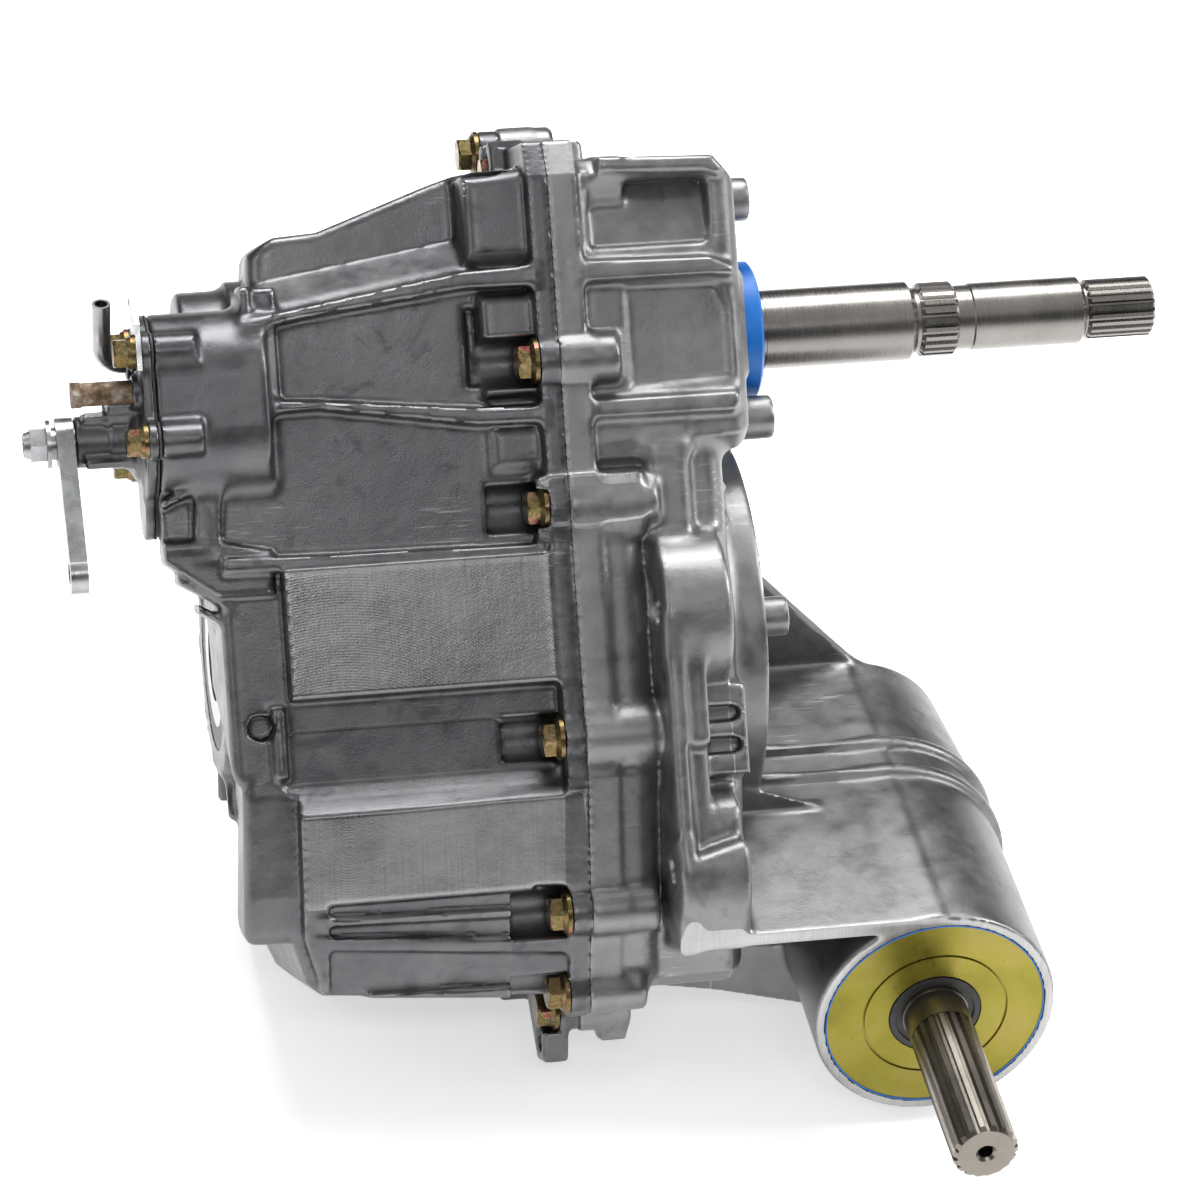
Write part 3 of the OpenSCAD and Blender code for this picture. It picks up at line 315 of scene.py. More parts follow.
FINISH = {
    "left_case": "cast_left", "right_case": "cast", "shift_cover": "cast_left", "cover_gasket": "gasket",
    "case_bolts": "zinc_yellow", "cover_bolts": "zinc_yellow", "dowel_pins": "steel_gear",
    "input_shaft": "steel_ground", "input_high_gear": "steel_gear", "input_bearing_left": "steel_bearing",
    "input_bearing_right": "steel_bearing", "input_snap_ring": "steel_gear", "input_seal": "seal_blue",
    "counter_shaft": "steel_gear", "low_gear": "steel_gear", "high_gear": "steel_gear", "reverse_gear": "steel_gear",
    "range_collar": "steel_gear", "reverse_collar": "steel_gear", "thrust_washers": "bronze",
    "counter_bearing_left": "steel_bearing", "counter_bearing_right": "steel_bearing", "reverse_idler": "steel_gear",
    "idler_pin": "steel_gear", "rear_spool": "steel_gear", "ring_gear": "steel_gear", "ring_gear_bolts": "steel_gear",
    "spool_bearing_left": "steel_bearing", "spool_bearing_right": "steel_bearing", "axle_seal_left": "seal_black",
    "axle_seal_right": "seal_black", "transfer_shaft": "steel_gear", "transfer_gear": "steel_gear", "bevel_pinion": "steel_gear",
    "transfer_bearing_left": "steel_bearing", "transfer_bearing_right": "steel_bearing", "output_shaft": "steel_phosphate",
    "bevel_gear": "steel_gear", "output_bearing_front": "steel_bearing", "output_bearing_rear": "steel_bearing",
    "output_snap_ring": "steel_gear", "output_seal": "zinc_olive", "output_seal_lip": "seal_black", "output_seal_band": "seal_blue",
    "shift_shaft": "zinc_bright", "shift_drum": "steel_gear", "shift_lever": "zinc_bright", "lever_washer": "zinc_bright",
    "lever_nut": "zinc_bright", "shift_seal": "seal_black", "fork_rail": "steel_gear", "range_fork": "bronze", "reverse_fork": "bronze",
    "vent_tube": "zinc_bright", "detent_bolt": "rust", "hose_bracket": "zinc_bright", "fill_plug": "zinc_bright"}
for _n, _m in FINISH.items():
    if _n in N:
        finish_node(_n, _m)


# ------------------------------------------------------------------ camera, light, floor
R_CAM = ((0.98231, -0.18236, 0.04262), (-0.07107, -0.57355, -0.81608), (0.17326, 0.79862, -0.57636))
cam_data = bpy.data.cameras.new("camera")
cam_data.lens = 156.0
cam_data.sensor_width = 36.0
cam_data.clip_start = 0.05
cam_data.clip_end = 40.0
cam = bpy.data.objects.new("camera", cam_data)
scene.collection.objects.link(cam)
_r, _d, _f = (Vector(v) for v in R_CAM)
_m = Matrix((_r, -_d, -_f)).transposed().to_4x4()
_m.translation = Vector((-0.44676, -1.66011, 1.07471))
cam.matrix_world = _m
scene.camera = cam

FLOOR_Z = -0.2502
fm = bpy.data.meshes.new("floor")
fm.from_pydata([(-9, -9, FLOOR_Z), (9, -9, FLOOR_Z), (9, 9, FLOOR_Z), (-9, 9, FLOOR_Z)], [], [(0, 1, 2, 3)])
floor = bpy.data.objects.new("floor", fm)
scene.collection.objects.link(floor)
_k = Mat("floor_paper", Roughness=0.9)
_k.color(_k.ramp(_k.noise(3, 2), [(0.3, (0.90, 0.90, 0.90)), (0.7, (0.93, 0.93, 0.93))]))
for _n in _k.m.node_tree.nodes:
    if _n.type == "BSDF_PRINCIPLED":
        _n.inputs["Emission Color"].default_value = (1, 1, 1, 1)
        _n.inputs["Emission Strength"].default_value = 0.55
fm.materials.append(_k.m)


def area(name, loc, target, size, power, color=(1, 1, 1), spread=180):
    d = bpy.data.lights.new(name, "AREA")
    d.shape = "RECTANGLE"
    d.size, d.size_y = size
    d.energy = power
    d.color = color
    d.spread = math.radians(spread)
    o = bpy.data.objects.new(name, d)
    scene.collection.objects.link(o)
    v = Vector(target) - Vector(loc)
    o.matrix_world = Matrix.Translation(Vector(loc)) @ v.to_track_quat("-Z", "Y").to_matrix().to_4x4()
    return o


area("top_box", (-0.05, 0.75, 1.55), (-0.12, -0.02, -0.10), (1.5, 0.9), 40)
area("right_box", (1.45, -0.25, 0.95), (-0.05, -0.05, -0.10), (0.55, 1.1), 20)
area("left_strip", (-1.65, -0.75, 0.95), (-0.18, -0.05, -0.08), (0.22, 1.1), 5)
area("front_strip", (-0.35, -2.1, 1.75), (-0.1, 0.0, -0.05), (1.3, 0.20), 9)

# the room: pale above, dark at the sides, so metal edges read against it
world = bpy.data.worlds.new("studio")
scene.world = world
world.use_nodes = True
wt = world.node_tree
bg = wt.nodes["Background"]
_tc = wt.nodes.new("ShaderNodeTexCoord")
_sx = wt.nodes.new("ShaderNodeSeparateXYZ")
_rp = wt.nodes.new("ShaderNodeValToRGB")
wt.links.new(_tc.outputs["Generated"], _sx.inputs[0])
wt.links.new(_sx.outputs[2], _rp.inputs[0])
wt.links.new(_rp.outputs[0], bg.inputs["Color"])
_e = _rp.color_ramp.elements
_e[0].position, _e[0].color = 0.0, (0.30, 0.31, 0.33, 1)
_e[1].position, _e[1].color = 0.85, (1.0, 1.0, 1.0, 1)
for _pos, _v in ((0.25, 0.10), (0.50, 0.16), (0.66, 0.55)):
    _n = _e.new(_pos)
    _n.color = (_v, _v, _v * 1.03, 1)
bg.inputs["Strength"].default_value = 0.62
scene.view_settings.view_transform = "Standard"
scene.view_settings.look = "None"
scene.view_settings.exposure = 0.0


# ------------------------------------------------------------------ castings
# The cast pieces are built from distance fields (mm, measured from the joint
# between the halves), so every edge has the radius that a casting has.
VOX = 1.25


def hd(h, d):
    return (0.57002 * h + 0.82163 * d, 0.82163 * h - 0.57002 * d)


def inset(P, t):
    P = np.array(P, float)
    u = P - np.roll(P, 1, 0)
    u /= np.linalg.norm(u, axis=1)[:, None]
    v = np.roll(P, -1, 0) - P
    v /= np.linalg.norm(v, axis=1)[:, None]
    nu = np.stack([-u[:, 1], u[:, 0]], 1)
    nv = np.stack([-v[:, 1], v[:, 0]], 1)
    return P + t * (nu + nv) / (1 + (nu * nv).sum(1))[:, None]


def round2(q, w, r):
    """Exact extrusion of a 2-D distance q by a 1-D distance w, with edge radius r."""
    q = q + r
    w = w + r
    return np.minimum(np.maximum(q, w), 0) + np.hypot(np.maximum(q, 0), np.maximum(w, 0)) - r


def poly_sdf(P, a, b):
    """Signed distance from points (a, b) to polygon P."""
    P = np.array(P, np.float32)
    shape = np.broadcast(a, b).shape
    d = np.full(shape, 1e9, np.float32)
    s = np.ones(shape, np.float32)
    n = len(P)
    for i in range(n):
        p, q = P[i], P[i - 1]
        e = q - p
        wa, wb = a - p[0], b - p[1]
        t = np.clip((wa * e[0] + wb * e[1]) / float(e @ e), 0, 1)
        d = np.minimum(d, (wa - e[0] * t) ** 2 + (wb - e[1] * t) ** 2)
        c1 = b >= p[1]
        c2 = b < q[1]
        c3 = e[0] * wb > e[1] * wa
        flip = (c1 & c2 & c3) | (~c1 & ~c2 & ~c3)
        s = np.where(flip, -s, s)
    return s * np.sqrt(d)


def cyl(c, r, x0, x1, rd=1.0):
    def f(X, Y, Z):
        return round2(np.hypot(Y - c[0], Z - c[1]) - r, np.abs(X - (x0 + x1) / 2) - (x1 - x0) / 2, rd)
    return (x0, c[0] - r, c[1] - r), (x1, c[0] + r, c[1] + r), f


def yz(P, x0, x1, rd=1.0):
    P = np.array(P, float)

    def f(X, Y, Z):
        return round2(poly_sdf(P, Y, Z), np.abs(X - (x0 + x1) / 2) - (x1 - x0) / 2, rd)
    return (x0, *P.min(0)), (x1, *P.max(0)), f


def band(a, b, w, x0, x1, rd=1.0):
    """Round-ended band between a and b, half-width w."""
    a, b = np.array(a, float), np.array(b, float)
    e = b - a

    def f(X, Y, Z):
        wy, wz = Y - a[0], Z - a[1]
        t = np.clip((wy * e[0] + wz * e[1]) / (e @ e), 0, 1)
        return round2(np.hypot(wy - e[0] * t, wz - e[1] * t) - w, np.abs(X - (x0 + x1) / 2) - (x1 - x0) / 2, rd)
    lo, hi = np.minimum(a, b) - w, np.maximum(a, b) + w
    return (x0, *lo), (x1, *hi), f


def xz(P, y0, y1, rd=1.0):
    P = np.array(P, float)

    def f(X, Y, Z):
        return round2(poly_sdf(P, X, Z), np.abs(Y - (y0 + y1) / 2) - (y1 - y0) / 2, rd)
    lo, hi = P.min(0), P.max(0)
    return (lo[0], y0, lo[1]), (hi[0], y1, hi[1]), f


def xh(P, d0, d1, rd=1.0):
    """Outline in x and h (up the slope), extruded into the case from d0 to d1."""
    P = np.array(P, float)
    c = np.array([hd(h, d) for h in (P[:, 1].min(), P[:, 1].max()) for d in (d0, d1)])

    def f(X, Y, Z):
        h = 0.57002 * Y + 0.82163 * Z
        d = 0.82163 * Y - 0.57002 * Z
        return round2(poly_sdf(P, X, h), np.abs(d - (d0 + d1) / 2) - (d1 - d0) / 2, rd)
    return (P[:, 0].min(), *c.min(0)), (P[:, 0].max(), *c.max(0)), f


def turned_y(x, z, R, rd=1.5):
    """Solid of revolution about an axis along Y, from an outline of [radius, y]."""
    R = np.array(R, float)
    r = R[:, 0].max()

    def f(X, Y, Z):
        return poly_sdf([(p[0] if p[0] > 0 else -50, p[1]) for p in R], np.hypot(X - x, Z - z), Y)
    return (x - r, R[:, 1].min(), z - r), (x + r, R[:, 1].max(), z + r), f


def spoke(c, k, r0, r1, t, x0, x1, rd=0.8):
    a = math.radians(k)
    u, n = (math.cos(a), math.sin(a)), (-math.sin(a) * t / 2, math.cos(a) * t / 2)
    P = [(c[0] + u[0] * r + s * n[0], c[1] + u[1] * r + s * n[1]) for r, s in ((r0, 1), (r1, 1), (r1, -1), (r0, -1))]
    return yz(P, x0, x1, rd)


class Field:
    def __init__(self, lo, hi):
        self.ax = [((np.arange(math.floor(lo[i] / VOX) - 3, math.ceil(hi[i] / VOX) + 4) + 0.37) * VOX).astype(np.float32) for i in range(3)]
        self.v = np.full([len(a) for a in self.ax], 12.0, np.float32)

    def region(self, lo, hi, pad):
        sl = tuple(slice(max(int(np.searchsorted(a, lo[i] - pad)), 0), max(int(np.searchsorted(a, hi[i] + pad)), 0))
                   for i, a in enumerate(self.ax))
        X, Y, Z = (self.ax[i][sl[i]] for i in range(3))
        return sl, X[:, None, None], Y[None, :, None], Z[None, None, :]

    def _mix(self, sl, d, k, sign):
        a = self.v[sl]
        if a.size == 0:
            return
        if k > 0:
            h = np.maximum(k - np.abs(a - d), 0) / k
            bend = h * h * (k * 0.25)
        else:
            bend = 0
        self.v[sl] = np.minimum(a, d) - bend if sign > 0 else np.maximum(a, d) + bend

    def add(self, shape, k=4.0):
        lo, hi, f = shape
        sl, X, Y, Z = self.region(lo, hi, k + 2 * VOX)
        if 0 in (X.size, Y.size, Z.size):
            return self
        self._mix(sl, f(X, Y, Z), k, 1)
        return self

    def cut(self, shape, k=1.2):
        lo, hi, f = shape
        sl, X, Y, Z = self.region(lo, hi, k + 2 * VOX)
        if 0 in (X.size, Y.size, Z.size):
            return self
        self._mix(sl, -f(X, Y, Z), k, -1)
        return self

    def keep(self, f, k=3.0):
        """Keep only the space where f(X, Y, Z) is negative."""
        sl, X, Y, Z = self.region([a[0] - 1 for a in self.ax], [a[-1] + 1 for a in self.ax], 1)
        self._mix(sl, np.broadcast_to(f(X, Y, Z), self.v.shape), k, -1)
        return self

    def merge(self, other, k, sign):
        """Add (1) or take away (-1) another field that covers part of this one."""
        dst, src = [], []
        for q in range(3):
            o = int(round((other.ax[q][0] - self.ax[q][0]) / VOX))
            a, b = max(o, 0), min(o + other.v.shape[q], self.v.shape[q])
            dst.append(slice(a, b))
            src.append(slice(a - o, b - o))
        d = other.v[tuple(src)]
        self._mix(tuple(dst), d if sign > 0 else -d, k, sign)
        return self

    def mesh(self):
        v = self.v
        ins = v < 0
        c = np.zeros([s - 1 for s in v.shape], np.uint8)
        off = [(i, j, k) for i in (0, 1) for j in (0, 1) for k in (0, 1)]
        for i, j, k in off:
            c += ins[i:v.shape[0] - 1 + i, j:v.shape[1] - 1 + j, k:v.shape[2] - 1 + k]
        act = (c > 0) & (c < 8)
        idx = np.full(act.shape, -1, np.int32)
        cells = np.argwhere(act)
        idx[act] = np.arange(len(cells), dtype=np.int32)
        val = np.stack([v[cells[:, 0] + i, cells[:, 1] + j, cells[:, 2] + k] for i, j, k in off], 1)
        o = np.array(off, np.float32)
        acc = np.zeros((len(cells), 3), np.float32)
        cnt = np.zeros(len(cells), np.float32)
        for a in range(8):
            for b in range(a + 1, 8):
                if np.abs(o[a] - o[b]).sum() != 1:
                    continue
                m = (val[:, a] < 0) != (val[:, b] < 0)
                t = val[m, a] / (val[m, a] - val[m, b])
                acc[m] += o[a] + (o[b] - o[a]) * t[:, None]
                cnt[m] += 1
        P = cells + acc / cnt[:, None]
        P = P * VOX + np.array([a[0] for a in self.ax])
        quads = []
        for ax in range(3):
            s0 = [slice(1, n - 1) for n in v.shape]
            s1 = [slice(1, n - 1) for n in v.shape]
            s0[ax] = slice(0, v.shape[ax] - 1)
            s1[ax] = slice(1, v.shape[ax])
            e = ins[tuple(s0)] != ins[tuple(s1)]
            w = np.argwhere(e)
            inside_first = ins[tuple(s0)][e]
            base = w.copy()
            for q in range(3):
                if q != ax:
                    base[:, q] += 1
            b1, b2 = (ax + 1) % 3, (ax + 2) % 3
            ring = []
            for d1, d2 in ((-1, -1), (0, -1), (0, 0), (-1, 0)):
                cidx = base.copy()
                cidx[:, b1] += d1
                cidx[:, b2] += d2
                ring.append(idx[cidx[:, 0], cidx[:, 1], cidx[:, 2]])
            q = np.stack(ring, 1)
            q[~inside_first] = q[~inside_first][:, ::-1]
            quads.append(q)
        Q = np.concatenate(quads)
        return P, Q[(Q >= 0).all(1)]


def field_object(name, fields, material, angle=38.0, decimate=0.0):
    """One mesh object from a field, in the part's own frame."""
    P, Q = fields.mesh()
    # the outermost bosses end where the case ends
    P[:, 1] = np.minimum(P[:, 1], 119.17)
    P[:, 2] = np.maximum(P[:, 2], -251.17)
    P = (P + np.array([DX, 0, 0])) / 1000.0
    me = bpy.data.meshes.new(name)
    me.vertices.add(len(P))
    me.vertices.foreach_set("co", P.astype(np.float32).ravel())
    me.loops.add(len(Q) * 4)
    me.loops.foreach_set("vertex_index", Q.astype(np.int32).ravel())
    me.polygons.add(len(Q))
    me.polygons.foreach_set("loop_start", np.arange(0, len(Q) * 4, 4, dtype=np.int32))
    me.update(calc_edges=True)
    me.validate()
    # shade smooth, with sharp edges above the given angle
    me.polygons.foreach_set("use_smooth", np.ones(len(me.polygons), bool))
    me.set_sharp_from_angle(angle=math.radians(angle))
    me.materials.append(material)
    ob = bpy.data.objects.new(name, me)
    scene.collection.objects.link(ob)
    return ob


# shaft centres and outlines, as in the construction
A = (0.0, 0.0)
C = (-40.0, -111.0)
_ac = math.hypot(*C)
_t = (70.0 ** 2 - 87.0 ** 2 + _ac ** 2) / (2 * _ac)
_p = math.sqrt(70.0 ** 2 - _t ** 2)
_uc = (C[0] / _ac, C[1] / _ac)
B = (_uc[0] * _t - _uc[1] * _p, _uc[1] * _t + _uc[0] * _p)
OX, OZ, SEAL_Y = 131.9, -196.4, -185.0
D = (C[0] - math.sqrt(96.0 ** 2 - (C[1] - OZ) ** 2), OZ)
_ti = (35.0 ** 2 - 61.25 ** 2 + 70.0 ** 2) / 140.0
_pi = math.sqrt(35.0 ** 2 - _ti ** 2)
I = (B[0] / 70 * _ti + B[1] / 70 * _pi, B[1] / 70 * _ti - B[0] / 70 * _pi)
S, R, H1, H2 = hd(-27, -44), hd(-52, -32), hd(-7.5, -44), hd(-24, -44)
FL = [hd(74, -56), hd(60, -63), hd(-165, -63), hd(-205, -52), hd(-252, -32), hd(-258, -18), hd(-258, 66.5), (10, -250),
      (49, -217), (81, -160), (103, -100), (106, -40), (92, 16), (64, 48), hd(74, 20)]
BOLTS = [(hd(57, -46), 30), (hd(-8.2, -58), 23), (hd(-62.7, -56), 34), (hd(-149.8, -56), 32), (hd(-215.8, -45), 26),
         (hd(-247, -27), 22), (hd(-256, 2), 20), (hd(66, -4), 20), ((86, 35), 22), ((110, -45), 22), ((105, -118), 22),
         ((73, -190), 22), ((14, -242), 16)]
COVER_BOLTS = [hd(4, -66), hd(-29, -74), hd(8, -20), hd(-36, -10)]
VENT = hd(1, -40)
EAR1, EAR2 = hd(-105, -47), hd(-203, -47)
EAR_HOLES = [hd(-105, -62.5), hd(-203, -62.5)]
COVER_BOSSES = [(hd(50, -16), 50, 85.0), (hd(-34, -18), 50, 88.5), (hd(-110.6, -25), 57, 87.5)]
BOSS_R, F_L, F_R, R_LEN = 9.2, 8.0, 11.5, 62.0


def slope_h(Y, Z):
    return 0.57002 * Y + 0.82163 * Z


def lerp(x, xs, ys):
    return np.interp(x, xs, ys).astype(np.float32)


def draw_in(f, t, k):
    """The left wall follows the depth, above and below the bearing level."""
    def bulge(X, Y, Z):
        """Bulges that clear the low gears and the spool."""
        return np.minimum.reduce([np.maximum(np.hypot(Y - c[0], Z - c[1]) - (r - t), x0 + t - X)
                                  for c, r, x0 in ((B, 63.2, -116.6), (A, 30.4, -116.4), (C, 42.0, -117.6))])

    def upper(X, Y, Z):
        xw = lerp(Y, [-61, 16, 70, 130], [-118, -109.6, -103, -103]) + t
        return np.minimum(np.minimum(xw - X, slope_h(Y, Z) + 8 + t), bulge(X, Y, Z))

    def lower(X, Y, Z):
        xw = lerp(Y, [-155, -40.3, 0, 60, 130], [-132.9, -118, -112.8, -105, -105]) + t
        return np.minimum(np.minimum(xw - X, (-104 + t * 0.3) - Z), bulge(X, Y, Z))
    f.keep(upper, k)
    f.keep(lower, k)


def roof(f, xs, hs, k):
    f.keep(lambda X, Y, Z: (slope_h(Y, Z) - lerp(X, xs, hs)) * 0.96, k)


def step_back(f, t, k):
    """The upper left corner steps back above the first fin."""
    def cut(X, Y, Z):
        h, d = slope_h(Y, Z), 0.82163 * Y - 0.57002 * Z
        hf = lerp(X, [-140, -107, -93, -34, 5], [13.5, 16, 18, 27, 28])
        return np.minimum(np.minimum((h - hf) * 0.84 - (d + 55.5) * 0.54 + t, t - 36.0 - d), -27.5 + t - X)
    f.keep(cut, k)


def build_left():
    g = Field((-153, -172, -253), (1, 112, 96))
    g.add(yz(inset(FL, 9), -132, -6, 5.0), 0)
    step_back(g, 0.0, 3.5)
    draw_in(g, 0.0, 9)
    roof(g, [-140, -109, -101, -84.4, -26, -5, 5], [40, 41, 45, 46, 66.5, 67, 67], 4)
    g.keep(lambda X, Y, Z: (lerp(X, [-150, -112, -107, -101.5, -34, -12, 5], [-219, -220, -236, -241, -247.5, -248.6, -249]) - slope_h(Y, Z)) * 0.8, 5)
    # left of the main panel the wall lies further back and ends in a flat band
    g.add(xh([(-141, -75), (-137, -14), (-112, -14), (-106, -20), (-103, -60), (-108, -76)], -50.5, -30, 5), 4)
    g.add(xh([(-140.6, -75), (-136.4, -14.5), (-126.8, -15), (-131, -75)], -57, -40, 1.2), 2.5)
    # fins and the frame of the upper front
    g.add(xh([(-117.5, 9.6), (-117.5, 13.0), (-107, 15.2), (-93, 17.3), (-34, 26.6), (-6, 27.6), (-6, 20), (-34, 20.3), (-93, 13.3)], -63.2, -44, 1.4), 3)
    g.add(xh([(-118.5, -21.5), (-118.5, -16), (-91, -18), (-31.6, -24.4), (-6, -25), (-6, -31.4), (-32, -30.6), (-91, -21)], -63.2, -44, 1.4), 3)
    g.add(xh([(-117.8, -18), (-117.8, 26), (-114.2, 26), (-114.2, -18)], -60.5, -44, 1.4), 2.5)
    g.add(xh([(-117, 12.5), (-117, 25.5), (-104, 25.5), (-104, 14)], -57.5, -44, 2.2), 3)
    g.add(xh([(-109, -17), (-109, 11), (-105.4, 11), (-105.4, -17)], -60.5, -44, 1.5), 2.5)
    g.cut(xh([(-113.6, -13), (-113.6, 6), (-109.6, 6), (-109.6, -13)], -70, -49, 1.2), 1.5)
    g.cut(xh([(-33.2, -16), (-33.2, 13), (-28.5, 13), (-28.5, -16)], -70, -49.5, 1.6), 3)
    g.add(xh([(-28.5, -20.5), (-28.5, 17.5), (-6, 17.5), (-6, -20.5)], -59.5, -44, 4.0), 3)
    g.add(xh([(-32, 30), (-32, 62), (-6, 64), (-6, 30)], -58, -30, 5.0), 4)
    g.add(xh([(-27, -48), (-27, -32), (-6, -32), (-6, -48)], -57, -44, 4.0), 3)
    # ledge above the upper pad
    g.add(xh([(-130.5, -79.5), (-130.5, -73.8), (-88, -75.2), (-6, -76.4), (-6, -81)], -60.2, -44, 1.2), 2.5)
    # machined pads
    g.add(yz([hd(-78, -50), hd(-80.5, -62.5), hd(-127.5, -62.5), hd(-129.5, -50)], -109, -3, 0.5), 2)
    # block and boss that straddle the joint
    g.add(yz([hd(-50.5, -50), hd(-51.8, -64), hd(-68, -64), hd(-76, -60), hd(-76, -50)], -12.4, 4, 1.4), 2.5)
    lower = Field((-110, -172, -253), (1, -50, -96))
    lower.add(yz([hd(-160, -50), hd(-171, -61.5), hd(-206, -51), hd(-247, -32.5), hd(-247, -20), hd(-215, -35)], -108.5, -3, 0.8), 0)
    lower.keep(lambda X, Y, Z: (lerp(X, [-150, -108, -101.5, -34, -12, 5], [-205, -219, -240.5, -246.5, -248, -249]) - slope_h(Y, Z)), 2)
    # the face below the lower pad lies 2.5 mm back, with long ribs
    lower.cut(yz([hd(-206, -70), hd(-206, -48.5), hd(-245, -30.8), hd(-252, -30), hd(-252, -70)], -99, -3, 0.5), 1.5)
    ribs = Field((-110, -172, -253), (1, -50, -96))
    ribs.add(xh([(-103, -213.4), (-103, -210.5), (-6, -213.4), (-6, -216.4)], -60, -25, 0.8), 0)
    ribs.add(xh([(-104, -222.6), (-104, -218), (-6, -225.4), (-6, -231.6)], -60, -25, 0.8), 0)
    ribs.add(xh([(-84, -242.6), (-84, -241.4), (-6, -243.0), (-6, -249)], -60, -15, 0.8), 0)
    ribs.keep(lambda X, Y, Z: -(0.82163 * Y - 0.57002 * Z) - 51.2 + (-206 - slope_h(Y, Z)) * 0.452 + 0 * X, 0.8)
    lower.merge(ribs, 2.5, 1)
    g.merge(lower, 2.0, 1)
    # recess between the pads, its floor slopes to the lower pad
    rec = Field((-112, -150, -190), (-4, -90, -90))
    rec.add(yz([hd(-128.6, -70), hd(-129.4, -54), hd(-133, -51.5), hd(-160.5, -51.5), hd(-171, -61.0), hd(-171, -70)], -114, -9.8, 3.2), 0)
    rec.keep(lambda X, Y, Z: (lerp(X, [-107, -16, 5], [-177, -168, -166.5]) - slope_h(Y, Z)), 3)
    g.merge(rec, 1.2, -1)
    # slot for the lower bolts
    g.cut(xh([(-21, -224), (-21, -204.5), (-8.5, -205.5), (-8.5, -224)], -70, -42, 2.0), 1.5)
    # small hole with a rib beside it
    g.add(xh([(-116.2, -157), (-116.2, -131), (-111.2, -131), (-111.2, -157)], -57.5, -44, 2.0), 2.5)
    g.cut(xh([(-120.2 + 4.9 * math.cos(t * math.pi / 8), -137.6 + 4.9 * math.sin(t * math.pi / 8)) for t in range(16)], -62, -47.5, 0.8), 1.0)
    # drum housing, bearing housings and their webs
    g.add(band(H1, H2, 26, -152, -110, 2.2), 6)
    g.add(band(H2, R, 13, -152, -112, 2.0), 5)
    for b in COVER_BOLTS:
        g.add(band(b, H2, 6.3, -152, -136, 1.0), 4)
    g.add(cyl(A, 28, -137, -108, 2.5), 7)
    g.add(cyl(B, 31, -147, -125, 2.5), 6)
    g.add(cyl(C, 57, -122, -108, 2.5), 7)
    g.add(cyl(C, 44.5, -128.5, -108, 1.6), 5)
    for k in range(10):
        g.add(spoke(C, k * 36 + 10, 42, 61, 4.4, -127, -110), 4)
    # stepped boxes and a triangular rib beside the drum housing
    g.add(xh([(-151, -33.6), (-151, -26.6), (-134, -26.8), (-134, -33.8)], -57, -40, 1.6), 2.5)
    g.add(xh([(-147.6, -42.4), (-147.6, -35.8), (-134, -36), (-134, -42.6)], -57, -40, 1.6), 2.5)
    g.add(xh([(-151.5, -69.5), (-151.5, -43.2), (-134, -43.2), (-134, -69.8)], -52, -36, 1.6), 3)
    g.add(xh([(-151.5, -54), (-151.5, -51), (-138, -43.8), (-136, -47)], -57.5, -40, 1.0), 2)
    g.add(xh([(-151.5, -69.5), (-151.5, -66.5), (-136, -67), (-136, -70)], -57.5, -40, 1.0), 2)
    g.add(xh([(-151.8, -68.6), (-151.8, -74), (-133, -88), (-112, -88), (-112, -72), (-130, -68)], -57.5, -38, 1.4), 2.5)
    g.add(xh([(-147, -82), (-147, -79), (-128, -90), (-128, -93.5)], -54, -34, 1.2), 2.5)
    g.add(xh([(-140, -93), (-140, -90), (-126, -98), (-126, -102)], -50, -30, 1.2), 2.5)
    g.add(cyl(hd(-0.5, -40), 6.5, -122, -112, 1.2), 2)
    # joint flange with its bolt bosses
    g.add(yz(FL, -F_L, 4, 1.0), 3)
    for b, _ in BOLTS:
        g.add(cyl(b, BOSS_R - 0.5, -F_L, 4, 0.8), 2.5)
    # top lug and mounting tab
    g.add(yz([hd(56, -22), hd(75, -18), hd(78, -12), hd(78, 8), hd(56, 18)], -14, 4, 2.0), 3)
    g.cut(yz([hd(80, -9), hd(80, 3), hd(72, 3), hd(72, -9)], -16, -5, 1.5), 2)
    g.add(yz([hd(-245, -12), hd(-277, 3), hd(-277, 19), hd(-245, 40)], -14, -4, 1.6), 2)
    g.add(yz([(D[0] - 14, D[1]), (D[0] + 14, D[1]), (D[0] + 10, D[1] - 52), (D[0] - 10, D[1] - 52)], -20, 4, 1), 3)
    # the space inside
    q = Field((-153, -172, -253), (4, 112, 96))
    q.add(yz(inset(FL, 16), -126, 9, 5.0), 0)
    draw_in(q, 6.2, 3)
    q.keep(lambda X, Y, Z: (lerp(X, [-150, -104, -96, -60, 5], [-213, -214, -235, -239, -245]) - slope_h(Y, Z)), 3)
    for c, r, x1 in ((A, 30, -110.5), (B, 33, -113), (C, 47, -111)):
        q.cut(cyl(c, r, -150, x1, 0.5), 2)
    for b, _ in BOLTS[:6] + BOLTS[7:12]:
        q.cut(cyl(b, 13.4, -34, 9, 1), 2)
    step_back(q, 6.2, 2)
    q.cut(yz([hd(-128, -70), hd(-128, -45), hd(-172, -45), hd(-172, -70)], -128, -3, 1), 3)
    q.cut(cyl(D, 30, -20, 9, 0.5), 2)
    q.cut(yz([(D[0] - 14, D[1]), (D[0] + 14, D[1]), (D[0] + 10, D[1] - 60), (D[0] - 10, D[1] - 60)], -20, 9, 0.5), 2)
    roof(q, [-140, -108, -82, -28, 9], [35, 35, 39.8, 59, 63], 3)
    g.merge(q, 1.5, -1)
    for c, r, x0, x1 in ((A, 23.5, -130, -115.9), (A, 17, -117, -100), (B, 23.5, -130, -112), (C, 40, -121.7, -110.9), (D, 23.5, -16, 5),
                         (C, 28, -152, -100), (C, 34, -152, -123.5)):
        g.cut(cyl(c, r + 0.05, x0, x1, 0.05), 0.4)
    d = Field((-153, -78, -80), (-100, 40, 40))
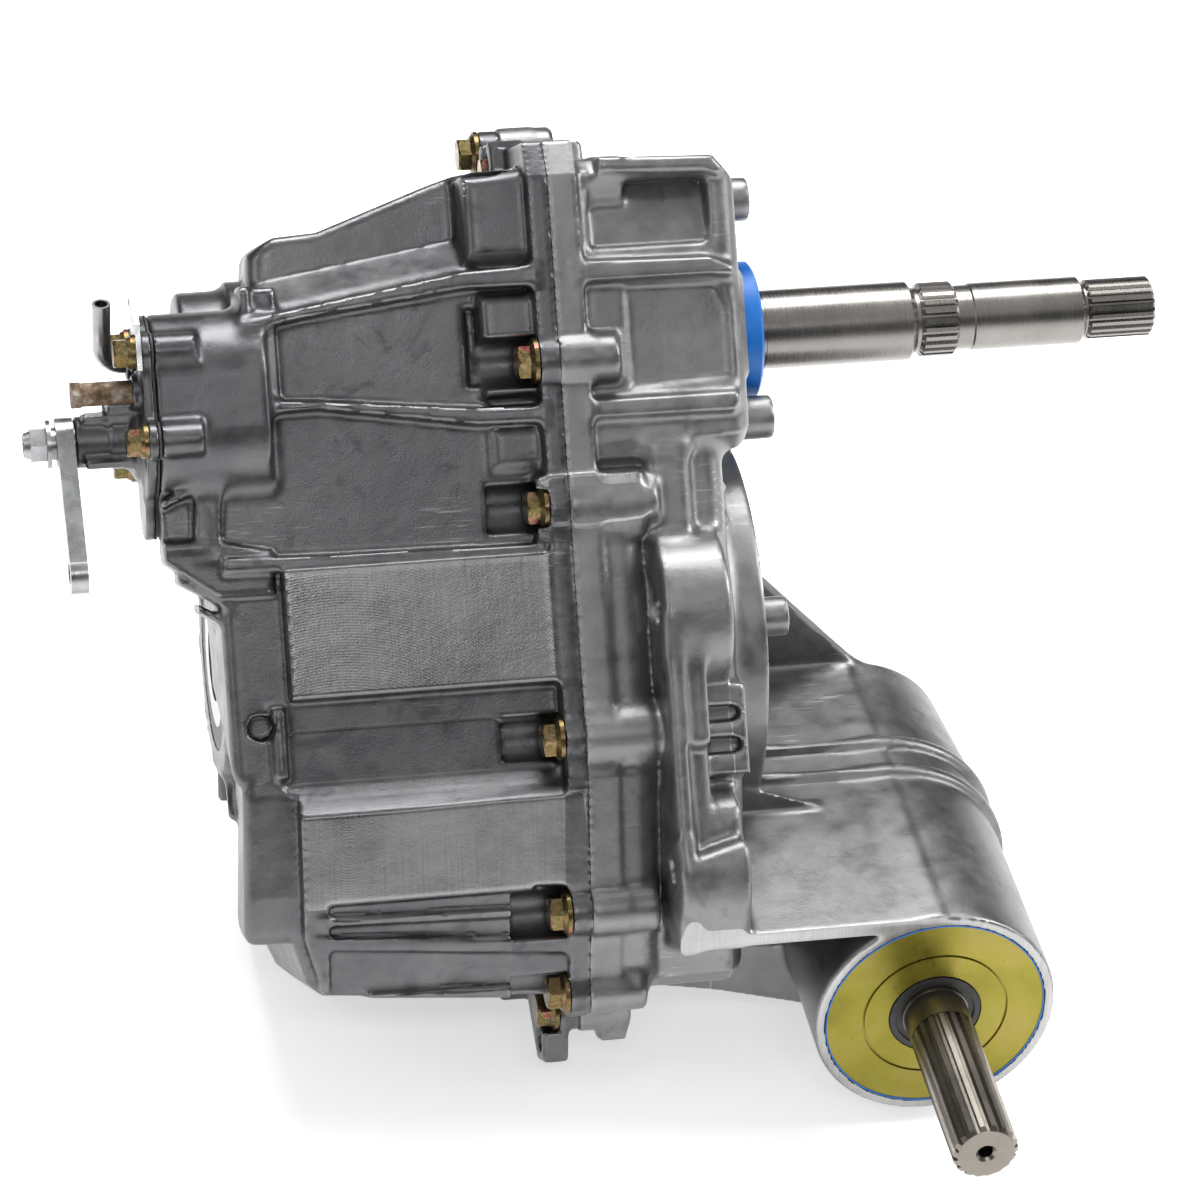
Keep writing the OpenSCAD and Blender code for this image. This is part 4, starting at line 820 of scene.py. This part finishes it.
    d.add(cyl(S, 21.1, -153, -119, 0.3), 0).add(cyl(R, 10.6, -154, -110, 0.3), 0).add(band(S, R, 10, -153, -119, 0.3), 0)
    d.cut(cyl(A, 26.5, -160, -90, 0.3), 0)
    g.merge(d, 0, -1)
    g.cut(cyl(S, 8.1, -120, -113.5, 0.2), 0)
    for b, _ in BOLTS:
        g.cut(cyl(b, 4.5, -20, 5, 0.2), 0)
        g.cut(cyl(b, 9.5, -30, -F_L, 0.3), 0.8)
    for b, _ in (BOLTS[1], BOLTS[3]):
        g.cut(cyl(b, 6.6, -6, 5, 0.2), 0)
    for b in COVER_BOLTS:
        g.cut(cyl(b, 3.1, -153, -136, 0.2), 0)
    g.cut(cyl(hd(-268.5, 11), 4.5, -16, -2, 0.2), 1.2)
    g.keep(lambda X, Y, Z: X - 0.45 + 0 * Y, 0)
    g.keep(lambda X, Y, Z: -152.0 - X + 0 * Y, 0)
    return g


def build_right():
    g = Field((-1, -187, -253), (186, 124, 96))
    g.add(yz(inset(FL, 9), 8, R_LEN, 8.0), 0)
    # hood above and beside the input
    g.add(yz([hd(64, -48), hd(60, -57), hd(-40, -57), hd(-46, -46), hd(-44, 24), hd(64, 24)], 8, 73, 8.0), 6)
    g.keep(lambda X, Y, Z: (slope_h(Y, Z) - lerp(X, [-5, 28, 60, 67, 75, 80], [67.6, 67.6, 66, 64.2, 55.2, 40])) * 0.9, 4)
    # panels between the fins
    g.cut(yz([hd(33, -70), hd(33, -54.5), hd(42, -52.4), hd(50, -49.6), hd(57.0, -46), hd(58.0, -70)], 11, 61.5, 3.5), 3)
    g.add(xh([(11, 30), (8, 62), (16, 62), (15, 30)], -58, -40, 2.0), 3)
    g.cut(xh([(28, -20), (28, 18), (62, 17), (66, 8), (66, -18)], -66, -55.6, 1.5), 3)
    g.add(xh([(8, 20), (8, 28), (60, 27), (68.5, 23), (68.5, 19), (60, 20)], -63, -44, 1.8), 4)
    g.add(xh([(10, -24), (10, -31), (66, -31.5), (68, -29), (68, -24)], -62.5, -44, 1.8), 4)
    g.add(xh([(20, 66.5), (20, 60.5), (60, 59), (66, 57), (68, 60), (64, 65)], -60.5, -44, 2), 3)
    # ledge beside the input housing
    g.add(xh([(69, 22), (69, -20), (75, -18), (75, 20)], -48, -20, 2), 4)
    for b, x1 in BOLTS:
        g.add(cyl(b, BOSS_R, 0, x1, 2.0), 4)
    g.add(cyl(A, 38, 50, 76.5, 2.5), 5)
    g.add(cyl(B, 36, 50, 68, 2.5), 5)
    # rear output flange with its rim and webs
    g.add(cyl(C, 75, 50, 66, 2.0), 4)
    g.add(cyl(C, 75, 58, 76, 1.4), 2)
    g.cut(cyl(C, 69, 66, 90, 0.6), 1.5)
    g.add(cyl(C, 46, 50, 80, 1.5), 4)
    for k in range(12):
        g.add(spoke(C, k * 30 + 8, 40, 73, 4.2, 58, 74), 3)
    for c, x0, x1 in COVER_BOSSES:
        g.add(cyl(c, 8.4 if x1 != 87.5 else 7.6, x0, x1, 1.2), 4)
    # front face below the block that straddles the joint; it rounds off towards the ears
    g.add(yz([hd(-60, -48), hd(-62, -61.5), hd(-165, -61.5), hd(-205, -51), hd(-250, -31), hd(-250, -16), hd(-60, -16)], -3, 27, 9.0), 4)
    g.add(yz([hd(-50.5, -50), hd(-51.8, -64), hd(-68, -64), hd(-76, -60), hd(-76, -50)], -4, 28.8, 2.4), 3)
    g.add(cyl(hd(-149.8, -56), 10.4, -3, 26.5, 2.2), 4)
    # the pillar above the ears
    g.add(yz([hd(-36, -52), hd(-42, -60), hd(-92, -60), hd(-92, -44), hd(-36, -44)], 31, 47.5, 4.0), 4)
    g.add(yz([hd(-26, -50), hd(-30, -57.5), hd(-46, -57.5), hd(-46, -40)], 10, 49, 3.0), 5)
    for hh in (-60, -72):
        g.add(xh([(46, hh - 1.8), (46, hh + 1.8), (64, hh + 1.8), (64, hh - 1.8)], -44, -30, 1.4), 2)
    # ears
    for e in (EAR1, EAR2):
        g.add(band(e, (e[0] + hd(0, 30)[0], e[1] + hd(0, 30)[1]), 30, 31, 57, 2.2), 5)
    g.add(yz([hd(-105, -75), hd(-203, -75), (SEAL_Y, -149), (SEAL_Y, -157), (-150, -162), hd(-203, -20), hd(-105, -20)], 31, 37, 1.6), 4)
    # the web between the ears, a block on it, and two slots behind
    g.add(yz([hd(-110, -72), hd(-200, -72), hd(-200, -36), hd(-110, -36)], 31, 46, 2.0), 4)
    g.add(yz([hd(-190, -74), (SEAL_Y, -149.4), (SEAL_Y, -155), hd(-203, -30), hd(-190, -36)], 31, 55, 2.0), 4)
    g.cut(xh([(38, -157), (38, -196), (60, -190), (60, -157)], -90, -67, 3), 5)
    g.add(xh([(44, -134), (44, -168), (63, -168), (63, -134)], -57.5, -20, 1.4), 3)
    for hh in (-145, -157):
        g.cut(xh([(47, hh - 3.1), (47, hh + 3.1), (57.5, hh + 3.1), (60.4, hh + 1.6), (60.4, hh - 1.6), (57.5, hh - 3.1)], -70, -52.5, 1.2), 1.5)
    g.add(xz([(62, -152), (99, -149.0), (66, -136)], -111.2, -108.2, 0.6), 1.5)
    # arm round the transfer shaft, and the tube of the front output
    g.add(cyl(D, 37, 40, OX, 2), 6)
    g.add(turned_y(OX, OZ, [[0, -11], [38, -11], [43, -13.5], [46.6, -60], [46.8, -70.5], [49.6, -72.5], [49.6, -76.2], [46.9, -78.2],
                             [46.9, -88.6], [49.6, -90.6], [49.6, -94.4], [47.0, -96.4], [47.2, -184], [46.2, -185], [0, -185]]), 5)
    g.add(yz([(SEAL_Y, OZ + 47.2), (SEAL_Y, OZ + 41.2), (-150, OZ + 41), (-11, OZ + 37), (-11, OZ + 43.2), (-60, OZ + 46.6), (-150, OZ + 47.1)], 31, OX, 1.2), 3)
    for y0, y1 in ((-76.4, -72.2), (-94.6, -90.4)):
        g.add(xz([(70, OZ + 44), (70, OZ + 54), (80, OZ + 50.8), (95, OZ + 49.5), (OX, OZ + 49.5), (OX, OZ + 44)], y0, y1, 1.2), 1.5)
    g.add(xz([(50, -228), (OX, -235), (OX, -154), (50, -154)], -21, -11, 2), 5)
    g.add(xz([(60, -154), (60, -80), (69, -80), (OX + 6, -154.5), (OX, -158)], -16, -11, 1.4), 4)
    g.add(xz([(4, -212), (60, -224), (100, -236), (OX - 20, -238), (OX - 20, -205), (60, -200)], -128, -118, 1.6), 5)
    # joint flange, top lug, tab
    g.add(yz(FL, -4, F_R, 1.0), 3)
    for b, x1 in BOLTS:
        g.add(cyl(b, BOSS_R - 0.4, -4, 14, 0.8), 2.5)
    g.add(yz([hd(56, -23), hd(76, -19), hd(77, 7), hd(56, 18)], -4, 22, 2.5), 4)
    g.cut(xh([(17, 84), (17, 70.5), (30, 70.5), (30, 84)], -14, 10, 1.5), 2)
    g.add(yz([hd(-245, -12), hd(-270, 0), hd(-270, 10), hd(-245, 30)], 8, 19, 1.6), 3)
    # the space inside
    q = Field((-9, -187, -253), (66, 124, 96))
    q.add(yz(inset(FL, 16), -9, R_LEN - 6, 5.0), 0)
    q.cut(cyl(I, 11, 3, 100, 0.5), 2)
    q.cut(yz([hd(-38, -52), hd(-38, -24), hd(-66, -24), hd(-66, -52)], 3, 16, 0.5), 2)
    q.cut(yz([hd(26, -70), hd(30, -48), hd(42, -45.5), hd(49, -40), hd(56, -30), hd(72, -30), hd(72, -70)], 5, 70, 2), 2)
    g.merge(q, 1.5, -1)
    for c, r, x0, x1 in ((I, 7.6, -9, 49), (R, 7.2, -9, 14.5), (A, 31, 56, 74), (A, 22, 73, 90), (B, 31, 40, 63), (C, 40, 40, 68), (C, 29, 60, 82),
                         (C, 36, 72, 82), (D, 34.7, 14, 48), (D, 26, 40, 77), (D, 22, 70, 90), (D, 33, 88, OX)):
        g.cut(cyl(c, r + 0.05, x0, x1, 0.05), 0.4)
    for r, y0, y1 in ((33, -134, -46), (31, -177, -130), (43.05, -190, -176), (23.5, -60, -16)):
        g.cut(turned_y(OX, OZ, [[0, y0], [r, y0], [r, y1], [0, y1]]), 0.4)
    for b, x1 in BOLTS:
        g.cut(cyl(b, 4.0, -5, x1 - 4, 0.2), 0)
    for b, _ in (BOLTS[1], BOLTS[3]):
        g.cut(cyl(b, 6.6, -5, 6, 0.2), 0)
    for c, x0, x1 in COVER_BOSSES:
        g.cut(cyl(c, 3.5, x1 - 16, x1 + 3, 0.3), 1)
    for c in EAR_HOLES:
        g.cut(cyl(c, 5.3, 28, 60, 0.3), 1.6)
    g.keep(lambda X, Y, Z: -0.45 - X + 0 * Y, 0)
    g.keep(lambda X, Y, Z: -185.0 - Y + 0 * X, 0)
    return g


def build_cover():
    g = Field((-184, -92, -96), (-149, 36, 56))
    g.add(band(H1, H2, 26, -156.5, -152.8, 0.8), 0)
    g.add(band(H2, R, 13, -156.5, -152.8, 0.8), 3)
    for b in COVER_BOLTS:
        g.add(band(b, H2, 7, -156.5, -152.8, 0.8), 3)
    g.add(cyl(S, 15.5, -160, -153, 2), 4)
    g.add(cyl(S, 10.6, -168, -153, 1.5), 5)
    g.add(cyl(S, 9.6, -181, -153, 1.0), 2)
    for k in (-60, 10, 100, 190):
        g.add(spoke(S, k, 4, 13.5, 3.2, -178, -155), 2.5)
    for k in (-60, 10, 100):
        g.add(spoke(S, k, 10, 19, 3.2, -169, -155), 3)
    g.add(cyl(VENT, 6, -160, -153, 0.8), 2.5)
    g.add(cyl(hd(-10, -60), 6.4, -160, -153, 0.8), 2.5)
    g.keep(lambda X, Y, Z: X + 152.8 + 0 * Y, 0)
    g.cut(cyl(S, 19, -154.8, -150, 0.2), 0.3)
    g.add(cyl(R, 9.5, -156, -150, 0.4), 0.5)
    g.cut(cyl(S, 6.1, -184, -150, 0.1), 0)
    g.cut(cyl(R, 6.1, -155, -148, 0.1), 0)
    g.cut(cyl(S, 8.05, -184, -177.4, 0.1), 0)
    for b in COVER_BOLTS:
        g.cut(cyl(b, 3.4, -160, -150, 0.1), 0)
    g.cut(cyl(VENT, 3.5, -162, -150, 0.1), 0)
    g.cut(cyl(hd(-10, -60), 4.5, -165, -158, 0.1), 0)
    return g


def grid_mesh(fn, name, mat, vox):
    global VOX
    keep = VOX
    VOX = vox
    try:
        return field_object(name, fn(), mat)
    finally:
        VOX = keep


for _name, _fn, _node, _mat, _vox in (("left_casting", build_left, "left_case", "cast_left", VOX),
                                      ("right_casting", build_right, "right_case", "cast", VOX),
                                      ("cover_casting", build_cover, "shift_cover", "cast_left", 0.6)):
    _o = grid_mesh(_fn, _name, M[_mat], _vox)
    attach(_o, "case")
    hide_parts(_node)
